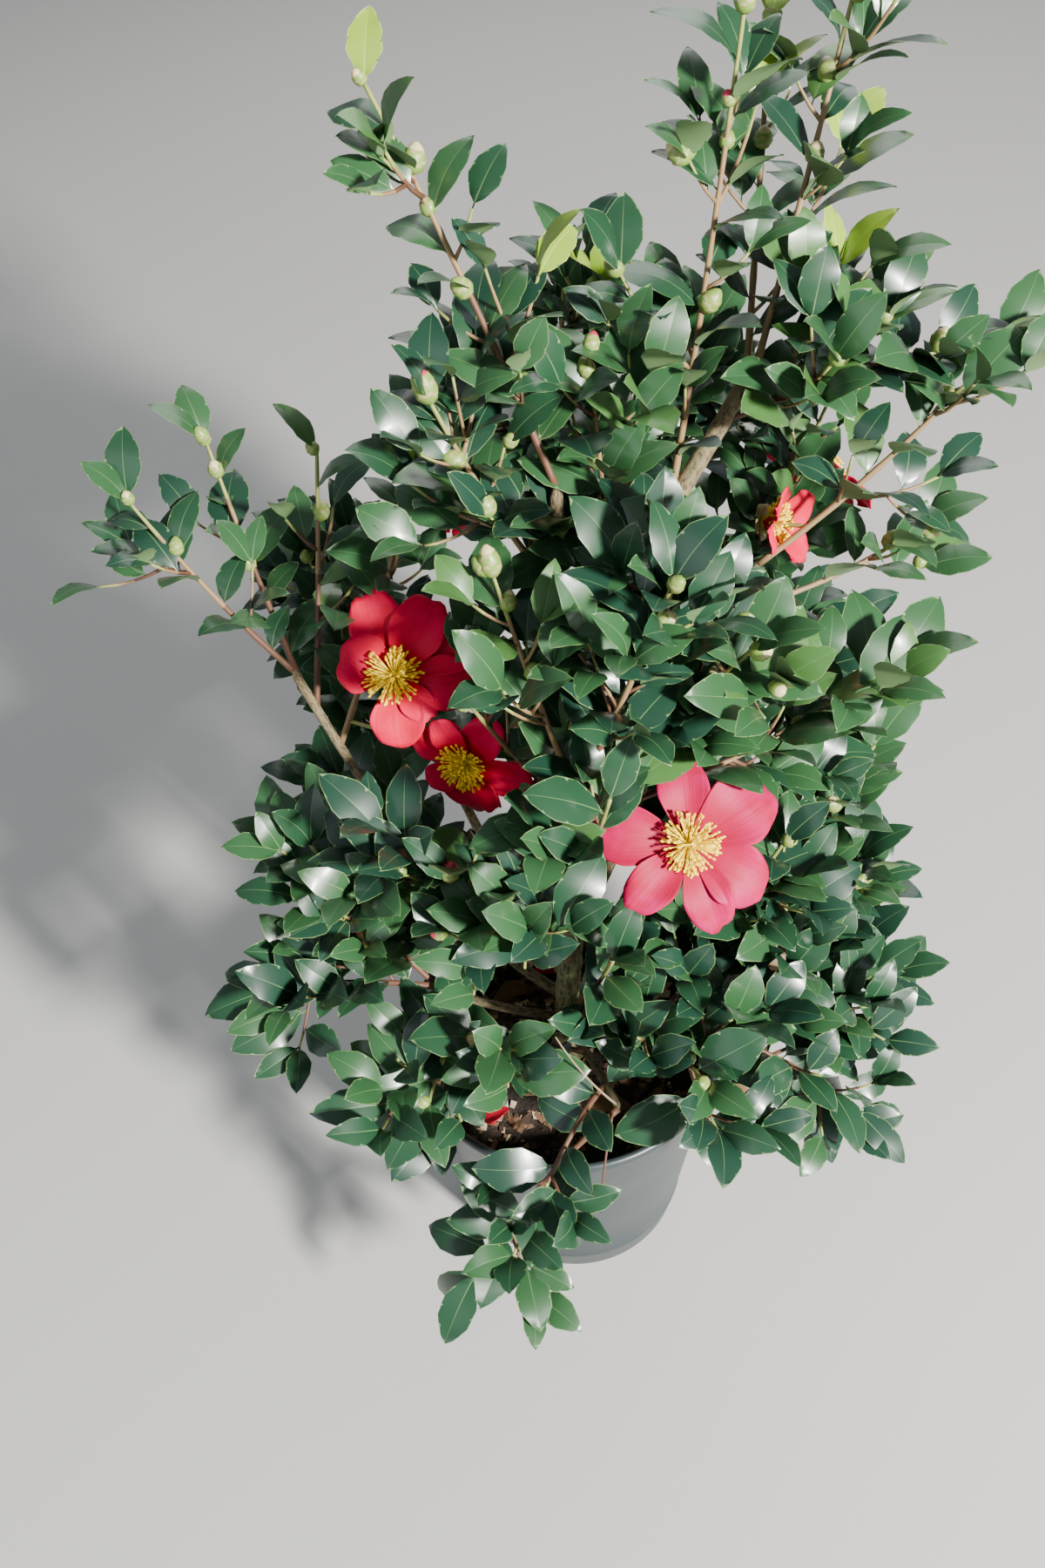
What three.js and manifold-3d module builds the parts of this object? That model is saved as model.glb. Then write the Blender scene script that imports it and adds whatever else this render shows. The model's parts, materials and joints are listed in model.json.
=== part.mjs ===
// Small-leaved camellia shrub in a nursery pot.
// Millimetres. X runs to the right, Y to the back and Z up, from the middle of the pot's flat underside.
import * as THREE from 'three'
import { mergeVertices } from 'three/addons/utils/BufferGeometryUtils.js'
import Module from 'manifold-3d'

const wasm = await Module()
wasm.setup()
const { Manifold, Mesh } = wasm

const UP = new THREE.Vector3(0, 0, 1)
const RIGHT = new THREE.Vector3(1, 0, 0)

// Clearance between two neighbouring pieces.
const CLEAR = 0.3

// The least distance between two corners of one piece, and how far joining may move a corner.
const CORNER_GAP = 0.002
const SMOOTHING = 0.02

// Pot: a tapered tub with a rolled rim, an inner floor and drain holes round its foot.
const POT_HEIGHT = 160
const POT_RIM_RADIUS = 82.5
const POT_FOOT_RADIUS = 60
const POT_WALL = 2
const POT_FLOOR = 3
const POT_ROLL = 4.6
const POT_NECK_DROP = 10
const POT_FACETS = 26
const DRAIN_COUNT = 5
const DRAIN_RADIUS = 5
const DRAIN_CIRCLE = 42
const DRAIN_SIDES = 6

// Soil: fills the pot up to a level below its rim, and falls a little towards the wall.
const SOIL_LEVEL = 128
const SOIL_FALL = 5
const SOIL_FLAT_RADIUS = 22

// Trunk: upright at its foot, then leaning to the right and back.
const TRUNK = { to: [47, 85, 394], thick: 13, thin: 9.4, flare: 7, flareHeight: 9 }
const TRUNK_FOOT = new THREE.Vector3(0, 5, SOIL_LEVEL + CLEAR)
const TRUNK_BEND_HEIGHT = 240
const TRUNK_SIDES = 8
const TRUNK_STEPS = 11

// Boughs: each leaves its parent at the fraction `at` of its length and ends at the point `to`.
// `bow` is how far its middle hangs below the straight line, and thick and thin are its diameters.
const BOUGHS = {
  leader: { from: 'trunk', at: 1, to: [100, 115, 468], bow: 2, thick: 9.2, thin: 6.6 },
  left_leader: { from: 'trunk', at: 0.3, to: [12, 75, 441], bow: 8, thick: 7.4, thin: 5.6 },
  left: { from: 'trunk', at: 0.16, to: [-113, 84, 346], bow: 40, thick: 6, thin: 4.2 },
  front: { from: 'trunk', at: 0.24, to: [11, -5, 346], bow: 14, thick: 6.6, thin: 4.6 },
  right: { from: 'trunk', at: 0.46, to: [101, 88, 382], bow: 12, thick: 6.4, thin: 4.6 },
  right_low: { from: 'trunk', at: 0.07, to: [76, -28, 182], bow: -4, thick: 5.2, thin: 3.8 },
  front_low: { from: 'trunk', at: 0.06, to: [20, -68, 190], bow: -8, thick: 4.8, thin: 3.6 },
  left_low: { from: 'trunk', at: 0.1, to: [-66, -6, 214], bow: 4, thick: 5.2, thin: 3.8 },
  back: { from: 'trunk', at: 0.38, to: [14, 168, 352], bow: 16, thick: 6.6, thin: 4.6 },
  back_left: { from: 'trunk', at: 0.2, to: [-62, 128, 268], bow: 12, thick: 6, thin: 4.2 },
  back_right: { from: 'trunk', at: 0.3, to: [92, 150, 300], bow: 14, thick: 6, thin: 4.2 },
  back_low: { from: 'trunk', at: 0.12, to: [16, 98, 200], bow: 2, thick: 5.2, thin: 3.8 },
}
const BOUGH_SIDES = 6
const BOUGH_STEP = 30

// Foliage masses: one stem each, with `twigs` as a number of side twigs and their length, and `buds`.
// Their stems start and end as the boughs do, and carry leaves beyond their bare foot.
const MASSES = {
  top_right: { from: 'leader', at: 1, to: [143, 180, 598], bow: 4, twigs: [2, 54], buds: 3 },
  top_thin: { from: 'leader', at: 0.9, to: [112, 194, 572], bow: 12, twigs: [0, 0], buds: 1 },
  top_centre: { from: 'leader', at: 0.25, to: [92, 144, 596], bow: 10, twigs: [2, 50], buds: 3 },
  top_left: { from: 'left_leader', at: 1, to: [-48, 130, 585], bow: -6, twigs: [2, 42], buds: 4 },
  crown_right: { from: 'leader', at: 0.7, to: [150, 108, 484], bow: 6, twigs: [3, 46], buds: 2 },
  crown_centre: { from: 'trunk', at: 0.86, to: [28, 96, 492], bow: 4, twigs: [3, 50], buds: 3 },
  crown_left: { from: 'left_leader', at: 0.8, to: [-36, 84, 482], bow: 8, twigs: [2, 46], buds: 1 },
  crown_front: { from: 'left_leader', at: 0.55, to: [50, 44, 436], bow: 8, twigs: [2, 42], buds: 1 },
  right_upper: { from: 'right', at: 1, to: [198, 105, 470], bow: 6, twigs: [2, 42], buds: 1 },
  right_lower: { from: 'right', at: 0.86, to: [178, 104, 382], bow: 6, twigs: [2, 44], buds: 2 },
  right_mid: { from: 'front', at: 0.86, to: [156, 46, 354], bow: 10, twigs: [3, 46], buds: 3 },
  centre: { from: 'front', at: 1, to: [50, 2, 448], bow: 4, twigs: [2, 40], buds: 1 },
  centre_low: { from: 'front', at: 0.62, to: [22, -30, 366], bow: 6, twigs: [3, 42], buds: 0 },
  centre_left: { from: 'left_leader', at: 0.34, to: [-32, 22, 376], bow: 4, twigs: [3, 40], buds: 1 },
  centre_right: { from: 'trunk', at: 0.7, to: [84, 10, 404], bow: 8, twigs: [3, 40], buds: 1 },
  front_left: { from: 'front', at: 0.95, to: [-17, 32, 436], bow: 4, twigs: [1, 38], buds: 3 },
  left_far: { from: 'left', at: 1, to: [-176, 124, 420], bow: 6, twigs: [1, 38], buds: 1 },
  left_upper: { from: 'left', at: 0.96, to: [-142, 154, 428], bow: 8, twigs: [0, 0], buds: 3 },
  left_inner: { from: 'left', at: 0.9, to: [-90, 136, 430], bow: 4, twigs: [1, 38], buds: 1 },
  left_right: { from: 'left', at: 0.8, to: [-48, 106, 436], bow: 8, twigs: [1, 40], buds: 1 },
  left_side: { from: 'left_low', at: 0.9, to: [-112, 24, 292], bow: 8, twigs: [3, 42], buds: 0 },
  left_back: { from: 'left', at: 0.45, to: [-104, 92, 260], bow: 4, twigs: [2, 44], buds: 0 },
  left_low: { from: 'left_low', at: 1, to: [-140, 2, 212], bow: -4, twigs: [3, 40], buds: 0 },
  left_front: { from: 'front', at: 0.35, to: [-76, 8, 312], bow: 6, twigs: [3, 42], buds: 0 },
  front_side: { from: 'left_low', at: 0.7, to: [-69, -58, 193], bow: -8, twigs: [3, 42], buds: 1 },
  front_droop: { from: 'front_low', at: 1, to: [-56, -104, 103], bow: -12, twigs: [3, 42], buds: 0 },
  front_skirt: { from: 'front_low', at: 0.8, to: [-23, -108, 173], bow: -10, twigs: [1, 34], buds: 0 },
  front_low: { from: 'front_low', at: 0.45, to: [-46, -36, 212], bow: -2, twigs: [2, 38], buds: 1 },
  front_mid: { from: 'front', at: 0.5, to: [-34, -30, 290], bow: 6, twigs: [3, 44], buds: 0 },
  front_core: { from: 'trunk', at: 0.12, to: [22, -34, 262], bow: 6, twigs: [2, 40], buds: 0 },
  front_right: { from: 'right_low', at: 0.6, to: [60, -70, 208], bow: -4, twigs: [3, 42], buds: 1 },
  right_low: { from: 'right_low', at: 0.98, to: [162, 0, 166], bow: -6, twigs: [3, 44], buds: 1 },
  right_skirt: { from: 'right_low', at: 0.9, to: [142, -52, 140], bow: -10, twigs: [2, 42], buds: 0 },
  right_side: { from: 'right_low', at: 0.75, to: [148, 22, 249], bow: 8, twigs: [3, 46], buds: 0 },
  right_front: { from: 'right_low', at: 0.4, to: [104, 0, 296], bow: 8, twigs: [3, 44], buds: 1 },
  right_outer: { from: 'right_low', at: 0.55, to: [154, 48, 300], bow: 10, twigs: [2, 42], buds: 0 },
  back_top: { from: 'back', at: 0.96, to: [26, 188, 480], bow: 6, twigs: [3, 50], buds: 2 },
  back_mid: { from: 'back', at: 0.9, to: [-22, 216, 380], bow: 8, twigs: [2, 48], buds: 0 },
  back_upper: { from: 'back', at: 0.8, to: [92, 208, 424], bow: 8, twigs: [3, 50], buds: 2 },
  back_left: { from: 'back_left', at: 1, to: [-112, 176, 340], bow: 8, twigs: [3, 48], buds: 1 },
  back_left_low: { from: 'back_left', at: 0.8, to: [-92, 166, 232], bow: 0, twigs: [3, 48], buds: 0 },
  back_right: { from: 'back_right', at: 1, to: [152, 186, 400], bow: 8, twigs: [2, 48], buds: 1 },
  back_right_low: { from: 'back_right', at: 0.85, to: [148, 160, 272], bow: 2, twigs: [3, 48], buds: 0 },
  back_low: { from: 'back_low', at: 1, to: [26, 182, 246], bow: 2, twigs: [3, 48], buds: 0 },
  back_side: { from: 'back_low', at: 0.8, to: [100, 122, 192], bow: -4, twigs: [3, 44], buds: 0 },
}
const STEM_THICK = 4
const STEM_THIN = 2.6
const STEM_BARE = 0.16
const TWIG_THICK = 2
const TWIG_THIN = 1.6
const TWIG_BARE = 0.3
const TWIG_SIDES = 3
const TWIG_STEP = 56

// Leaves: alternate, in two ranks on a level twig and three on an upright one, crowded at each tip.
// A rank leaves the middle of one of the twig's three faces.
const LEAF_LENGTH = 43
const LEAF = { breadth: 0.58, broadest: 0.46, keel: 0.045, droop: 0.16 }
const LEAF_PITCH = 17
const LEAF_ANGLE = 60
const TIP_LEAVES = 3
const FIRST_RANK = 30
const UPRIGHT = 0.75

// Round flower buds in the leaf axils, each a turned form that narrows to its stalk.
const BUD_RADIUS = 4.8
const BUD_LENGTH = 12
const BUD_SIDES = 5

// Single flowers: broad petals round a boss of stamens, each on a short twig of the mass it names.
// Its heart is the point `to`, and it looks along the angle `turn` from the right, `rise` above level.
const FLOWERS = [
  { on: 'left_right', at: 0.3, to: [-66, 78, 344], turn: -96, rise: 42, size: 68, petals: 6 },
  { on: 'left_right', at: 0.1, to: [-37, 42, 314], turn: -120, rise: 12, size: 60, petals: 6 },
  { on: 'right_mid', at: 0.25, to: [56, -18, 320], turn: -88, rise: 50, size: 70, petals: 6 },
  { on: 'right_upper', at: 0.2, to: [107, 104, 391], turn: -20, rise: 10, size: 58, petals: 5 },
  { on: 'back_mid', at: 0.6, to: [-14, 208, 330], turn: 100, rise: 30, size: 66, petals: 6 },
  { on: 'back_right', at: 0.6, to: [150, 190, 350], turn: 40, rise: 25, size: 64, petals: 6 },
]
const PETAL = { breadth: 0.72, broadest: 0.68, keel: 0.09, droop: -0.2 }
const BOSS_RADIUS = 0.17
const BOSS_HEIGHT = 7
const BOSS_DEPTH = 3

// Small helpers

const degrees = THREE.MathUtils.degToRad

const place = ({ to }) => new THREE.Vector3(...to)

const boughName = key => `bough_${key}`

const massName = key => `foliage_${key}`

// A repeatable number from 0 to 1 for up to four whole numbers.
function chance(mass, twig, site, draw) {
  const value = Math.sin(mass * 12.9898 + twig * 78.233 + site * 37.719 + draw * 4.581 + 1) * 43758.5453
  return value - Math.floor(value)
}

// A limb's line lies in one upright plane, whose level normal serves as its frame all along.
function levelOf(curve) {
  const level = curve.v2.clone().sub(curve.v0).cross(UP)
  return level.length() < 1 ? RIGHT.clone() : level.normalize()
}

// The direction at the angle `around` about a line: 0 is level and 90 degrees is its upper side.
function outward(curve, at, around) {
  const level = levelOf(curve)
  const upper = new THREE.Vector3().crossVectors(level, curve.getTangentAt(at))
  return level.multiplyScalar(Math.cos(around)).addScaledVector(upper, Math.sin(around))
}

// A line from start to tip whose middle hangs `bow` below the straight.
function bowed(start, tip, bow) {
  const knee = start.clone().add(tip).multiplyScalar(0.5).addScaledVector(UP, -2 * bow)
  return new THREE.QuadraticBezierCurve3(start, knee, tip)
}

// A profile of radius and height pairs turned round the upright axis.
function turned(profile, facets) {
  const points = profile.map(([radius, height]) => new THREE.Vector2(radius, height))
  return new THREE.LatheGeometry(points, facets).rotateX(Math.PI / 2)
}

function solidOf(geometry) {
  geometry.deleteAttribute('normal')
  geometry.deleteAttribute('uv')
  const merged = mergeVertices(geometry, 1e-4)
  return new Manifold(new Mesh({
    numProp: 3,
    vertProperties: new Float32Array(merged.attributes.position.array),
    triVerts: new Uint32Array(merged.index.array),
  }))
}

// The one largest body of a solid: loose scraps and sealed hollows are dropped.
function largest(solid) {
  return solid.decompose().reduce((best, body) => (body.volume() > best.volume() ? body : best))
}

// Whether two corners of a solid lie too near each other for its faces to be built.
function isCramped(solid) {
  const { numProp, vertProperties } = solid.getMesh()
  const corners = []
  for (let i = 0; i < vertProperties.length; i += numProp) corners.push(vertProperties.subarray(i, i + 3))
  corners.sort((a, b) => a[0] - b[0])
  return corners.some(([x, y, z], i) => {
    for (let k = i + 1; k < corners.length && corners[k][0] - x < CORNER_GAP; k++) {
      if (Math.hypot(corners[k][0] - x, corners[k][1] - y, corners[k][2] - z) < CORNER_GAP) return true
    }
    return false
  })
}

// Pieces joined one after another into one body, without those that would leave it cramped.
function fused(pieces) {
  return pieces.reduce((body, piece) => {
    const joined = largest(body.add(piece).simplify(SMOOTHING))
    return isCramped(joined) ? body : joined
  })
}

function meshOf(name, solid, finish) {
  const { vertProperties, triVerts } = solid.getMesh()
  const geometry = new THREE.BufferGeometry()
  geometry.setAttribute('position', new THREE.BufferAttribute(new Float32Array(vertProperties), 3))
  geometry.setIndex(new THREE.BufferAttribute(new Uint32Array(triVerts), 1))
  const mesh = new THREE.Mesh(geometry, finish)
  mesh.name = name
  return mesh
}

// How many straight steps a line of this length is made of, and a point on such a stepped line.
const stepsOf = (curve, step) => Math.max(1, Math.round(curve.getLength() / step))

function onSteps(curve, steps, fraction) {
  const ring = Math.min(steps - 1, Math.floor(fraction * steps))
  return curve.getPointAt(ring / steps).lerp(curve.getPointAt((ring + 1) / steps), fraction * steps - ring)
}

// A closed tapering tube along a curve: a cylinder whose rings are moved onto it. `grow` swells it.
function tube(curve, radiusAt, sides, steps, grow = 0) {
  const geometry = new THREE.CylinderGeometry(1, 1, 1, sides, steps)
  const level = levelOf(curve)
  const position = geometry.attributes.position
  for (let i = 0; i < position.count; i++) {
    const ring = Math.round((position.getY(i) + 0.5) * steps)
    const along = ring / steps
    const radius = radiusAt(along) + grow
    const end = ring === 0 ? -grow : ring === steps ? grow : 0
    const tangent = curve.getTangentAt(along)
    const upper = new THREE.Vector3().crossVectors(level, tangent)
    const point = curve.getPointAt(along)
      .addScaledVector(tangent, end)
      .addScaledVector(level, position.getX(i) * radius)
      .addScaledVector(upper, position.getZ(i) * radius)
    position.setXYZ(i, point.x, point.y, point.z)
  }
  return solidOf(geometry)
}

// Placed pieces, kept so that later ones can stay clear of them

const settled = []

const boxOf = solid => solid.boundingBox()

function boxesMeet(a, b) {
  return [0, 1, 2].every(i => a.min[i] <= b.max[i] && b.min[i] <= a.max[i])
}

// The settled pieces near a solid, apart from those that it may touch.
function near(solid, mayTouch) {
  const box = boxOf(solid)
  return settled.filter(piece => !mayTouch(piece) && boxesMeet(piece.box, box))
}

function isFree(grown, mayTouch) {
  return near(grown, mayTouch).every(piece => grown.intersect(piece.solid).isEmpty())
}

function settle(solid, node, kind, grown = solid) {
  settled.push({ solid, node, kind, grown, box: boxOf(grown) })
}

// Limbs: the trunk, the boughs and the stems of the masses

const limbs = new Map()

function addLimb(name, curve, radiusAt, sides, steps) {
  const raw = tube(curve, radiusAt, sides, steps)
  const solid = near(raw, () => false).reduce((left, piece) => left.subtract(piece.grown), raw)
  const body = largest(solid).simplify(SMOOTHING)
  limbs.set(name, { curve, radiusAt, solid: body })
  settle(body, name, 'limb', tube(curve, radiusAt, sides, steps, CLEAR))
  return body
}

function growLimb(name, spec, sides, thick, thin, step) {
  const parent = limbs.get(spec.from === 'trunk' ? 'trunk' : boughName(spec.from))
  const curve = bowed(parent.curve.getPointAt(spec.at), place(spec), spec.bow)
  const radiusAt = along => THREE.MathUtils.lerp(thick, thin, along) / 2
  return addLimb(name, curve, radiusAt, sides, stepsOf(curve, step))
}

// A blade of six faces, for leaf and petal: it widens from its root to `broadest`, its keel lies `keel`
// below its flat upper side and its tip hangs by `droop`. A shape's sizes are shares of the length.
const BLADE_FACES = [0, 2, 1, 0, 1, 3, 0, 3, 2, 4, 1, 2, 4, 3, 1, 4, 2, 3]

function blade({ root, along, face, length }, shape, grow = 0) {
  const side = new THREE.Vector3().crossVectors(face, along).normalize()
  const upper = new THREE.Vector3().crossVectors(along, side).normalize()
  const half = length * shape.breadth / 2 + grow
  const middle = length * shape.broadest
  const keel = length * shape.keel
  const corners = [
    [0, 0, 0],
    [middle, half, keel / 2 + grow],
    [middle, -half, keel / 2 + grow],
    [middle, 0, -keel / 2 - grow],
    [length + grow, 0, -length * shape.droop],
  ]
  const points = corners.flatMap(([reach, across, lift]) => root.clone()
    .addScaledVector(along, reach)
    .addScaledVector(side, across)
    .addScaledVector(upper, lift)
    .toArray())
  return new Manifold(new Mesh({
    numProp: 3,
    vertProperties: new Float32Array(points),
    triVerts: new Uint32Array(BLADE_FACES),
  }))
}

// Where the leaves of one twig stand: root, direction, upper face and length of each.
function leafSites(curve, bare, mass, twig) {
  const count = Math.max(1, Math.round(curve.getLength() * (1 - bare) / LEAF_PITCH))
  const sites = []
  for (let i = 0; i < count + TIP_LEAVES - 1; i++) {
    const last = Math.max(0, i - count + 1)
    const fraction = last > 0 ? 0.985 : bare + (0.97 - bare) * i / count
    const draw = [0, 1, 2, 3].map(k => chance(mass, twig, i, k))
    const tangent = curve.getTangentAt(fraction)
    const rank = tangent.z > UPRIGHT ? i % 3 : i % 2
    const around = degrees(FIRST_RANK + 120 * rank + 16 * (draw[0] - 0.5))
    const lean = degrees(last > 0 ? 34 : LEAF_ANGLE + 16 * (draw[1] - 0.5))
    const out = outward(curve, fraction, around)
    const along = tangent.clone().multiplyScalar(Math.cos(lean)).addScaledVector(out, Math.sin(lean))
    along.z += 0.12
    along.normalize()
    const budOut = outward(curve, fraction, around + degrees(120))
    const budAlong = tangent.clone().multiplyScalar(0.6).addScaledVector(budOut, 0.8)
    const face = UP.clone().addScaledVector(tangent, 0.3).addScaledVector(out, -0.1)
    const length = LEAF_LENGTH * (0.84 + 0.3 * draw[2]) * (last > 0 ? 0.78 : 1)
    const root = onSteps(curve, stepsOf(curve, TWIG_STEP), fraction)
    sites.push({ root, along, face, length, budAlong })
  }
  return sites
}

// The side twigs of a mass's stem: they leave it all round and sweep upward.
function twigCurves(stem, spec, mass) {
  const curves = []
  const [count, longest] = spec.twigs
  for (let k = 0; k < count; k++) {
    const at = 0.18 + 0.66 * (k + 0.3 + 0.4 * chance(mass, k, 0, 5)) / count
    const tangent = stem.getTangentAt(at)
    const rank = Math.floor(3 * chance(mass, 0, 0, 6)) + k
    const out = outward(stem, at, degrees(FIRST_RANK + 120 * rank))
    const start = onSteps(stem, stepsOf(stem, TWIG_STEP), at)
    const length = longest * (1.1 - 0.5 * at) * (0.85 + 0.3 * chance(mass, k, 0, 7))
    const heading = tangent.clone().multiplyScalar(0.66).addScaledVector(out, 0.8)
    heading.z += 0.2
    const tip = start.clone().addScaledVector(heading.normalize(), length)
    curves.push(bowed(start, tip, 0.1 * length))
  }
  return curves
}

// A bud stands on the next rank round the twig from the leaf of its site.
function budSolid(site, grow = 0) {
  const profile = [
    [0, -grow],
    [BUD_RADIUS + grow, 0.5 * BUD_LENGTH],
    [0.7 * BUD_RADIUS + grow, 0.85 * BUD_LENGTH],
    [0, BUD_LENGTH + grow],
  ]
  const geometry = turned(profile, BUD_SIDES)
  geometry.applyQuaternion(new THREE.Quaternion().setFromUnitVectors(UP, site.budAlong))
  return solidOf(geometry.translate(site.root.x, site.root.y, site.root.z))
}

// Petals spread from inside the boss, whose sides face them one by one.
function flowerSolid(spec, grow = 0) {
  const rise = degrees(spec.rise)
  const turn = degrees(spec.turn)
  const facing = new THREE.Vector3(Math.cos(turn), Math.sin(turn), Math.tan(rise)).normalize()
  const pose = new THREE.Quaternion().setFromUnitVectors(UP, facing)
  const radius = BOSS_RADIUS * spec.size + grow
  const profile = [
    [0, -BOSS_DEPTH - grow],
    [radius * 0.6, -BOSS_DEPTH],
    [radius, BOSS_HEIGHT],
    [0, BOSS_HEIGHT + grow],
  ]
  const boss = turned(profile, spec.petals).rotateZ(Math.PI / 2 + Math.PI / spec.petals)
  boss.applyQuaternion(pose).translate(...spec.to)
  const petals = Array.from({ length: spec.petals }, (_, i) => {
    const angle = 2 * Math.PI * i / spec.petals
    const along = new THREE.Vector3(Math.cos(angle), Math.sin(angle), 0).applyQuaternion(pose)
    return blade({ root: place(spec), along, face: facing, length: spec.size / 2 }, PETAL, grow)
  })
  return Manifold.union([solidOf(boss), ...petals])
}

// Pot and soil

function potWallRadius(height) {
  return THREE.MathUtils.lerp(POT_FOOT_RADIUS, POT_RIM_RADIUS - POT_ROLL / 2, height / POT_HEIGHT)
}

function potSolid() {
  const rim = POT_RIM_RADIUS
  const neck = POT_HEIGHT - POT_NECK_DROP
  const inner = height => potWallRadius(height) - POT_WALL
  const shell = solidOf(turned([
    [0, 0],
    [POT_FOOT_RADIUS - 2, 0],
    [POT_FOOT_RADIUS, 2],
    [potWallRadius(neck), neck],
    [rim, POT_HEIGHT - POT_ROLL],
    [rim - 1, POT_HEIGHT - 1],
    [rim - POT_ROLL / 2, POT_HEIGHT],
    [rim - POT_ROLL, POT_HEIGHT - 1],
    [inner(neck), neck],
    [inner(POT_FLOOR), POT_FLOOR],
    [0, POT_FLOOR],
  ], POT_FACETS))
  const drains = Array.from({ length: DRAIN_COUNT }, (_, i) => {
    const turn = 2 * Math.PI * (i + 0.5) / DRAIN_COUNT
    const drain = new THREE.CylinderGeometry(DRAIN_RADIUS, DRAIN_RADIUS, 3 * POT_FLOOR, DRAIN_SIDES)
    drain.rotateX(Math.PI / 2).translate(DRAIN_CIRCLE * Math.cos(turn), DRAIN_CIRCLE * Math.sin(turn), 0)
    return solidOf(drain)
  })
  return drains.reduce((left, drain) => left.subtract(drain), shell)
}

function soilSolid() {
  const edge = height => potWallRadius(height) - POT_WALL - CLEAR
  const foot = POT_FLOOR + CLEAR
  return solidOf(turned([
    [0, foot],
    [edge(foot), foot],
    [edge(SOIL_LEVEL - SOIL_FALL), SOIL_LEVEL - SOIL_FALL],
    [SOIL_FLAT_RADIUS, SOIL_LEVEL],
    [0, SOIL_LEVEL],
  ], POT_FACETS))
}

// The plant, grown from the trunk outward

function growTrunk() {
  const knee = TRUNK_FOOT.clone().setZ(TRUNK_BEND_HEIGHT)
  const curve = new THREE.QuadraticBezierCurve3(TRUNK_FOOT, knee, place(TRUNK))
  const length = curve.getLength()
  const radiusAt = along => (THREE.MathUtils.lerp(TRUNK.thick, TRUNK.thin, along)
    + TRUNK.flare * Math.exp(-along * length / TRUNK.flareHeight)) / 2
  return addLimb('trunk', curve, radiusAt, TRUNK_SIDES, TRUNK_STEPS)
}

function growPieces(name, spec, mass) {
  const stem = limbs.get(name).curve
  const pieces = [limbs.get(name).solid]
  const own = piece => piece.node === name
  const ownTwig = piece => own(piece) && (piece.kind === 'limb' || piece.kind === 'twig')
  const tryPiece = (make, kind, mayTouch) => {
    if (!isFree(make(CLEAR), mayTouch)) return false
    const solid = make(0)
    settle(solid, name, kind)
    pieces.push(solid)
    return true
  }

  for (const flower of FLOWERS.filter(({ on }) => massName(on) === name)) {
    const stalk = bowed(onSteps(stem, stepsOf(stem, TWIG_STEP), flower.at), place(flower), 0)
    tryPiece(grow => tube(stalk, () => TWIG_THIN / 2, TWIG_SIDES, 1, grow), 'twig', own)
    tryPiece(grow => flowerSolid(flower, grow), 'flower', own)
  }

  const twigs = [{ curve: stem, bare: STEM_BARE }]
  for (const curve of twigCurves(stem, spec, mass)) {
    const radiusAt = along => THREE.MathUtils.lerp(TWIG_THICK, TWIG_THIN, along) / 2
    const steps = stepsOf(curve, TWIG_STEP)
    const grown = tryPiece(grow => tube(curve, radiusAt, TWIG_SIDES, steps, grow), 'twig', own)
    if (grown) twigs.push({ curve, bare: TWIG_BARE })
  }
  return { pieces, twigs, tryPiece, ownTwig }
}

function growLeaves({ twigs, tryPiece, ownTwig }, spec, mass) {
  const sites = twigs.flatMap(({ curve, bare }, twig) => leafSites(curve, bare, mass, twig))
  const budEvery = Math.max(1, Math.floor(sites.length / (spec.buds + 1)))
  for (let k = 1; k <= spec.buds; k++) {
    const site = sites[k * budEvery - 1]
    if (site) tryPiece(grow => budSolid(site, grow), 'bud', ownTwig)
  }
  for (const site of sites) tryPiece(grow => blade(site, LEAF, grow), 'leaf', ownTwig)
}

const potFinish = new THREE.MeshStandardMaterial({ color: 0x2b2c2e, roughness: 0.45 })
const soilFinish = new THREE.MeshStandardMaterial({ color: 0x2a1d15, roughness: 0.95 })
const barkFinish = new THREE.MeshStandardMaterial({ color: 0x7d7152, roughness: 0.85 })
const leafFinish = new THREE.MeshStandardMaterial({ color: 0x2f5634, roughness: 0.4, flatShading: true })

const shrub = new THREE.Group()
const pot = potSolid()
const soil = soilSolid()
settle(pot, 'pot', 'pot')
settle(soil, 'soil', 'soil')
shrub.add(meshOf('pot', pot, potFinish), meshOf('soil', soil, soilFinish))

shrub.add(meshOf('trunk', growTrunk(), barkFinish))
for (const [key, spec] of Object.entries(BOUGHS)) {
  const name = boughName(key)
  shrub.add(meshOf(name, growLimb(name, spec, BOUGH_SIDES, spec.thick, spec.thin, BOUGH_STEP), barkFinish))
}

const masses = Object.entries(MASSES).map(([key, spec]) => [massName(key), spec])
for (const [name, spec] of masses) growLimb(name, spec, TWIG_SIDES, STEM_THICK, STEM_THIN, TWIG_STEP)

const grown = masses.map(([name, spec], mass) => growPieces(name, spec, mass))
masses.forEach(([, spec], mass) => growLeaves(grown[mass], spec, mass))
masses.forEach(([name], mass) => shrub.add(meshOf(name, fused(grown[mass].pieces), leafFinish)))

export default shrub
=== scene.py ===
"""Potted camellia shrub: bark, twigs, leaves, buds, flowers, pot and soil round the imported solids.

The shrub grows again here by the rule of the solids, in millimetres, with life-size leaves and finer
twigs. X runs to the right, Y to the back and Z up, from the middle of the pot's flat underside.
"""

import json
import logging
import math
from collections.abc import Callable, Iterable, Sequence
from dataclasses import dataclass, field
from enum import Enum, IntEnum
from functools import cache
from typing import Any

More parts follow.
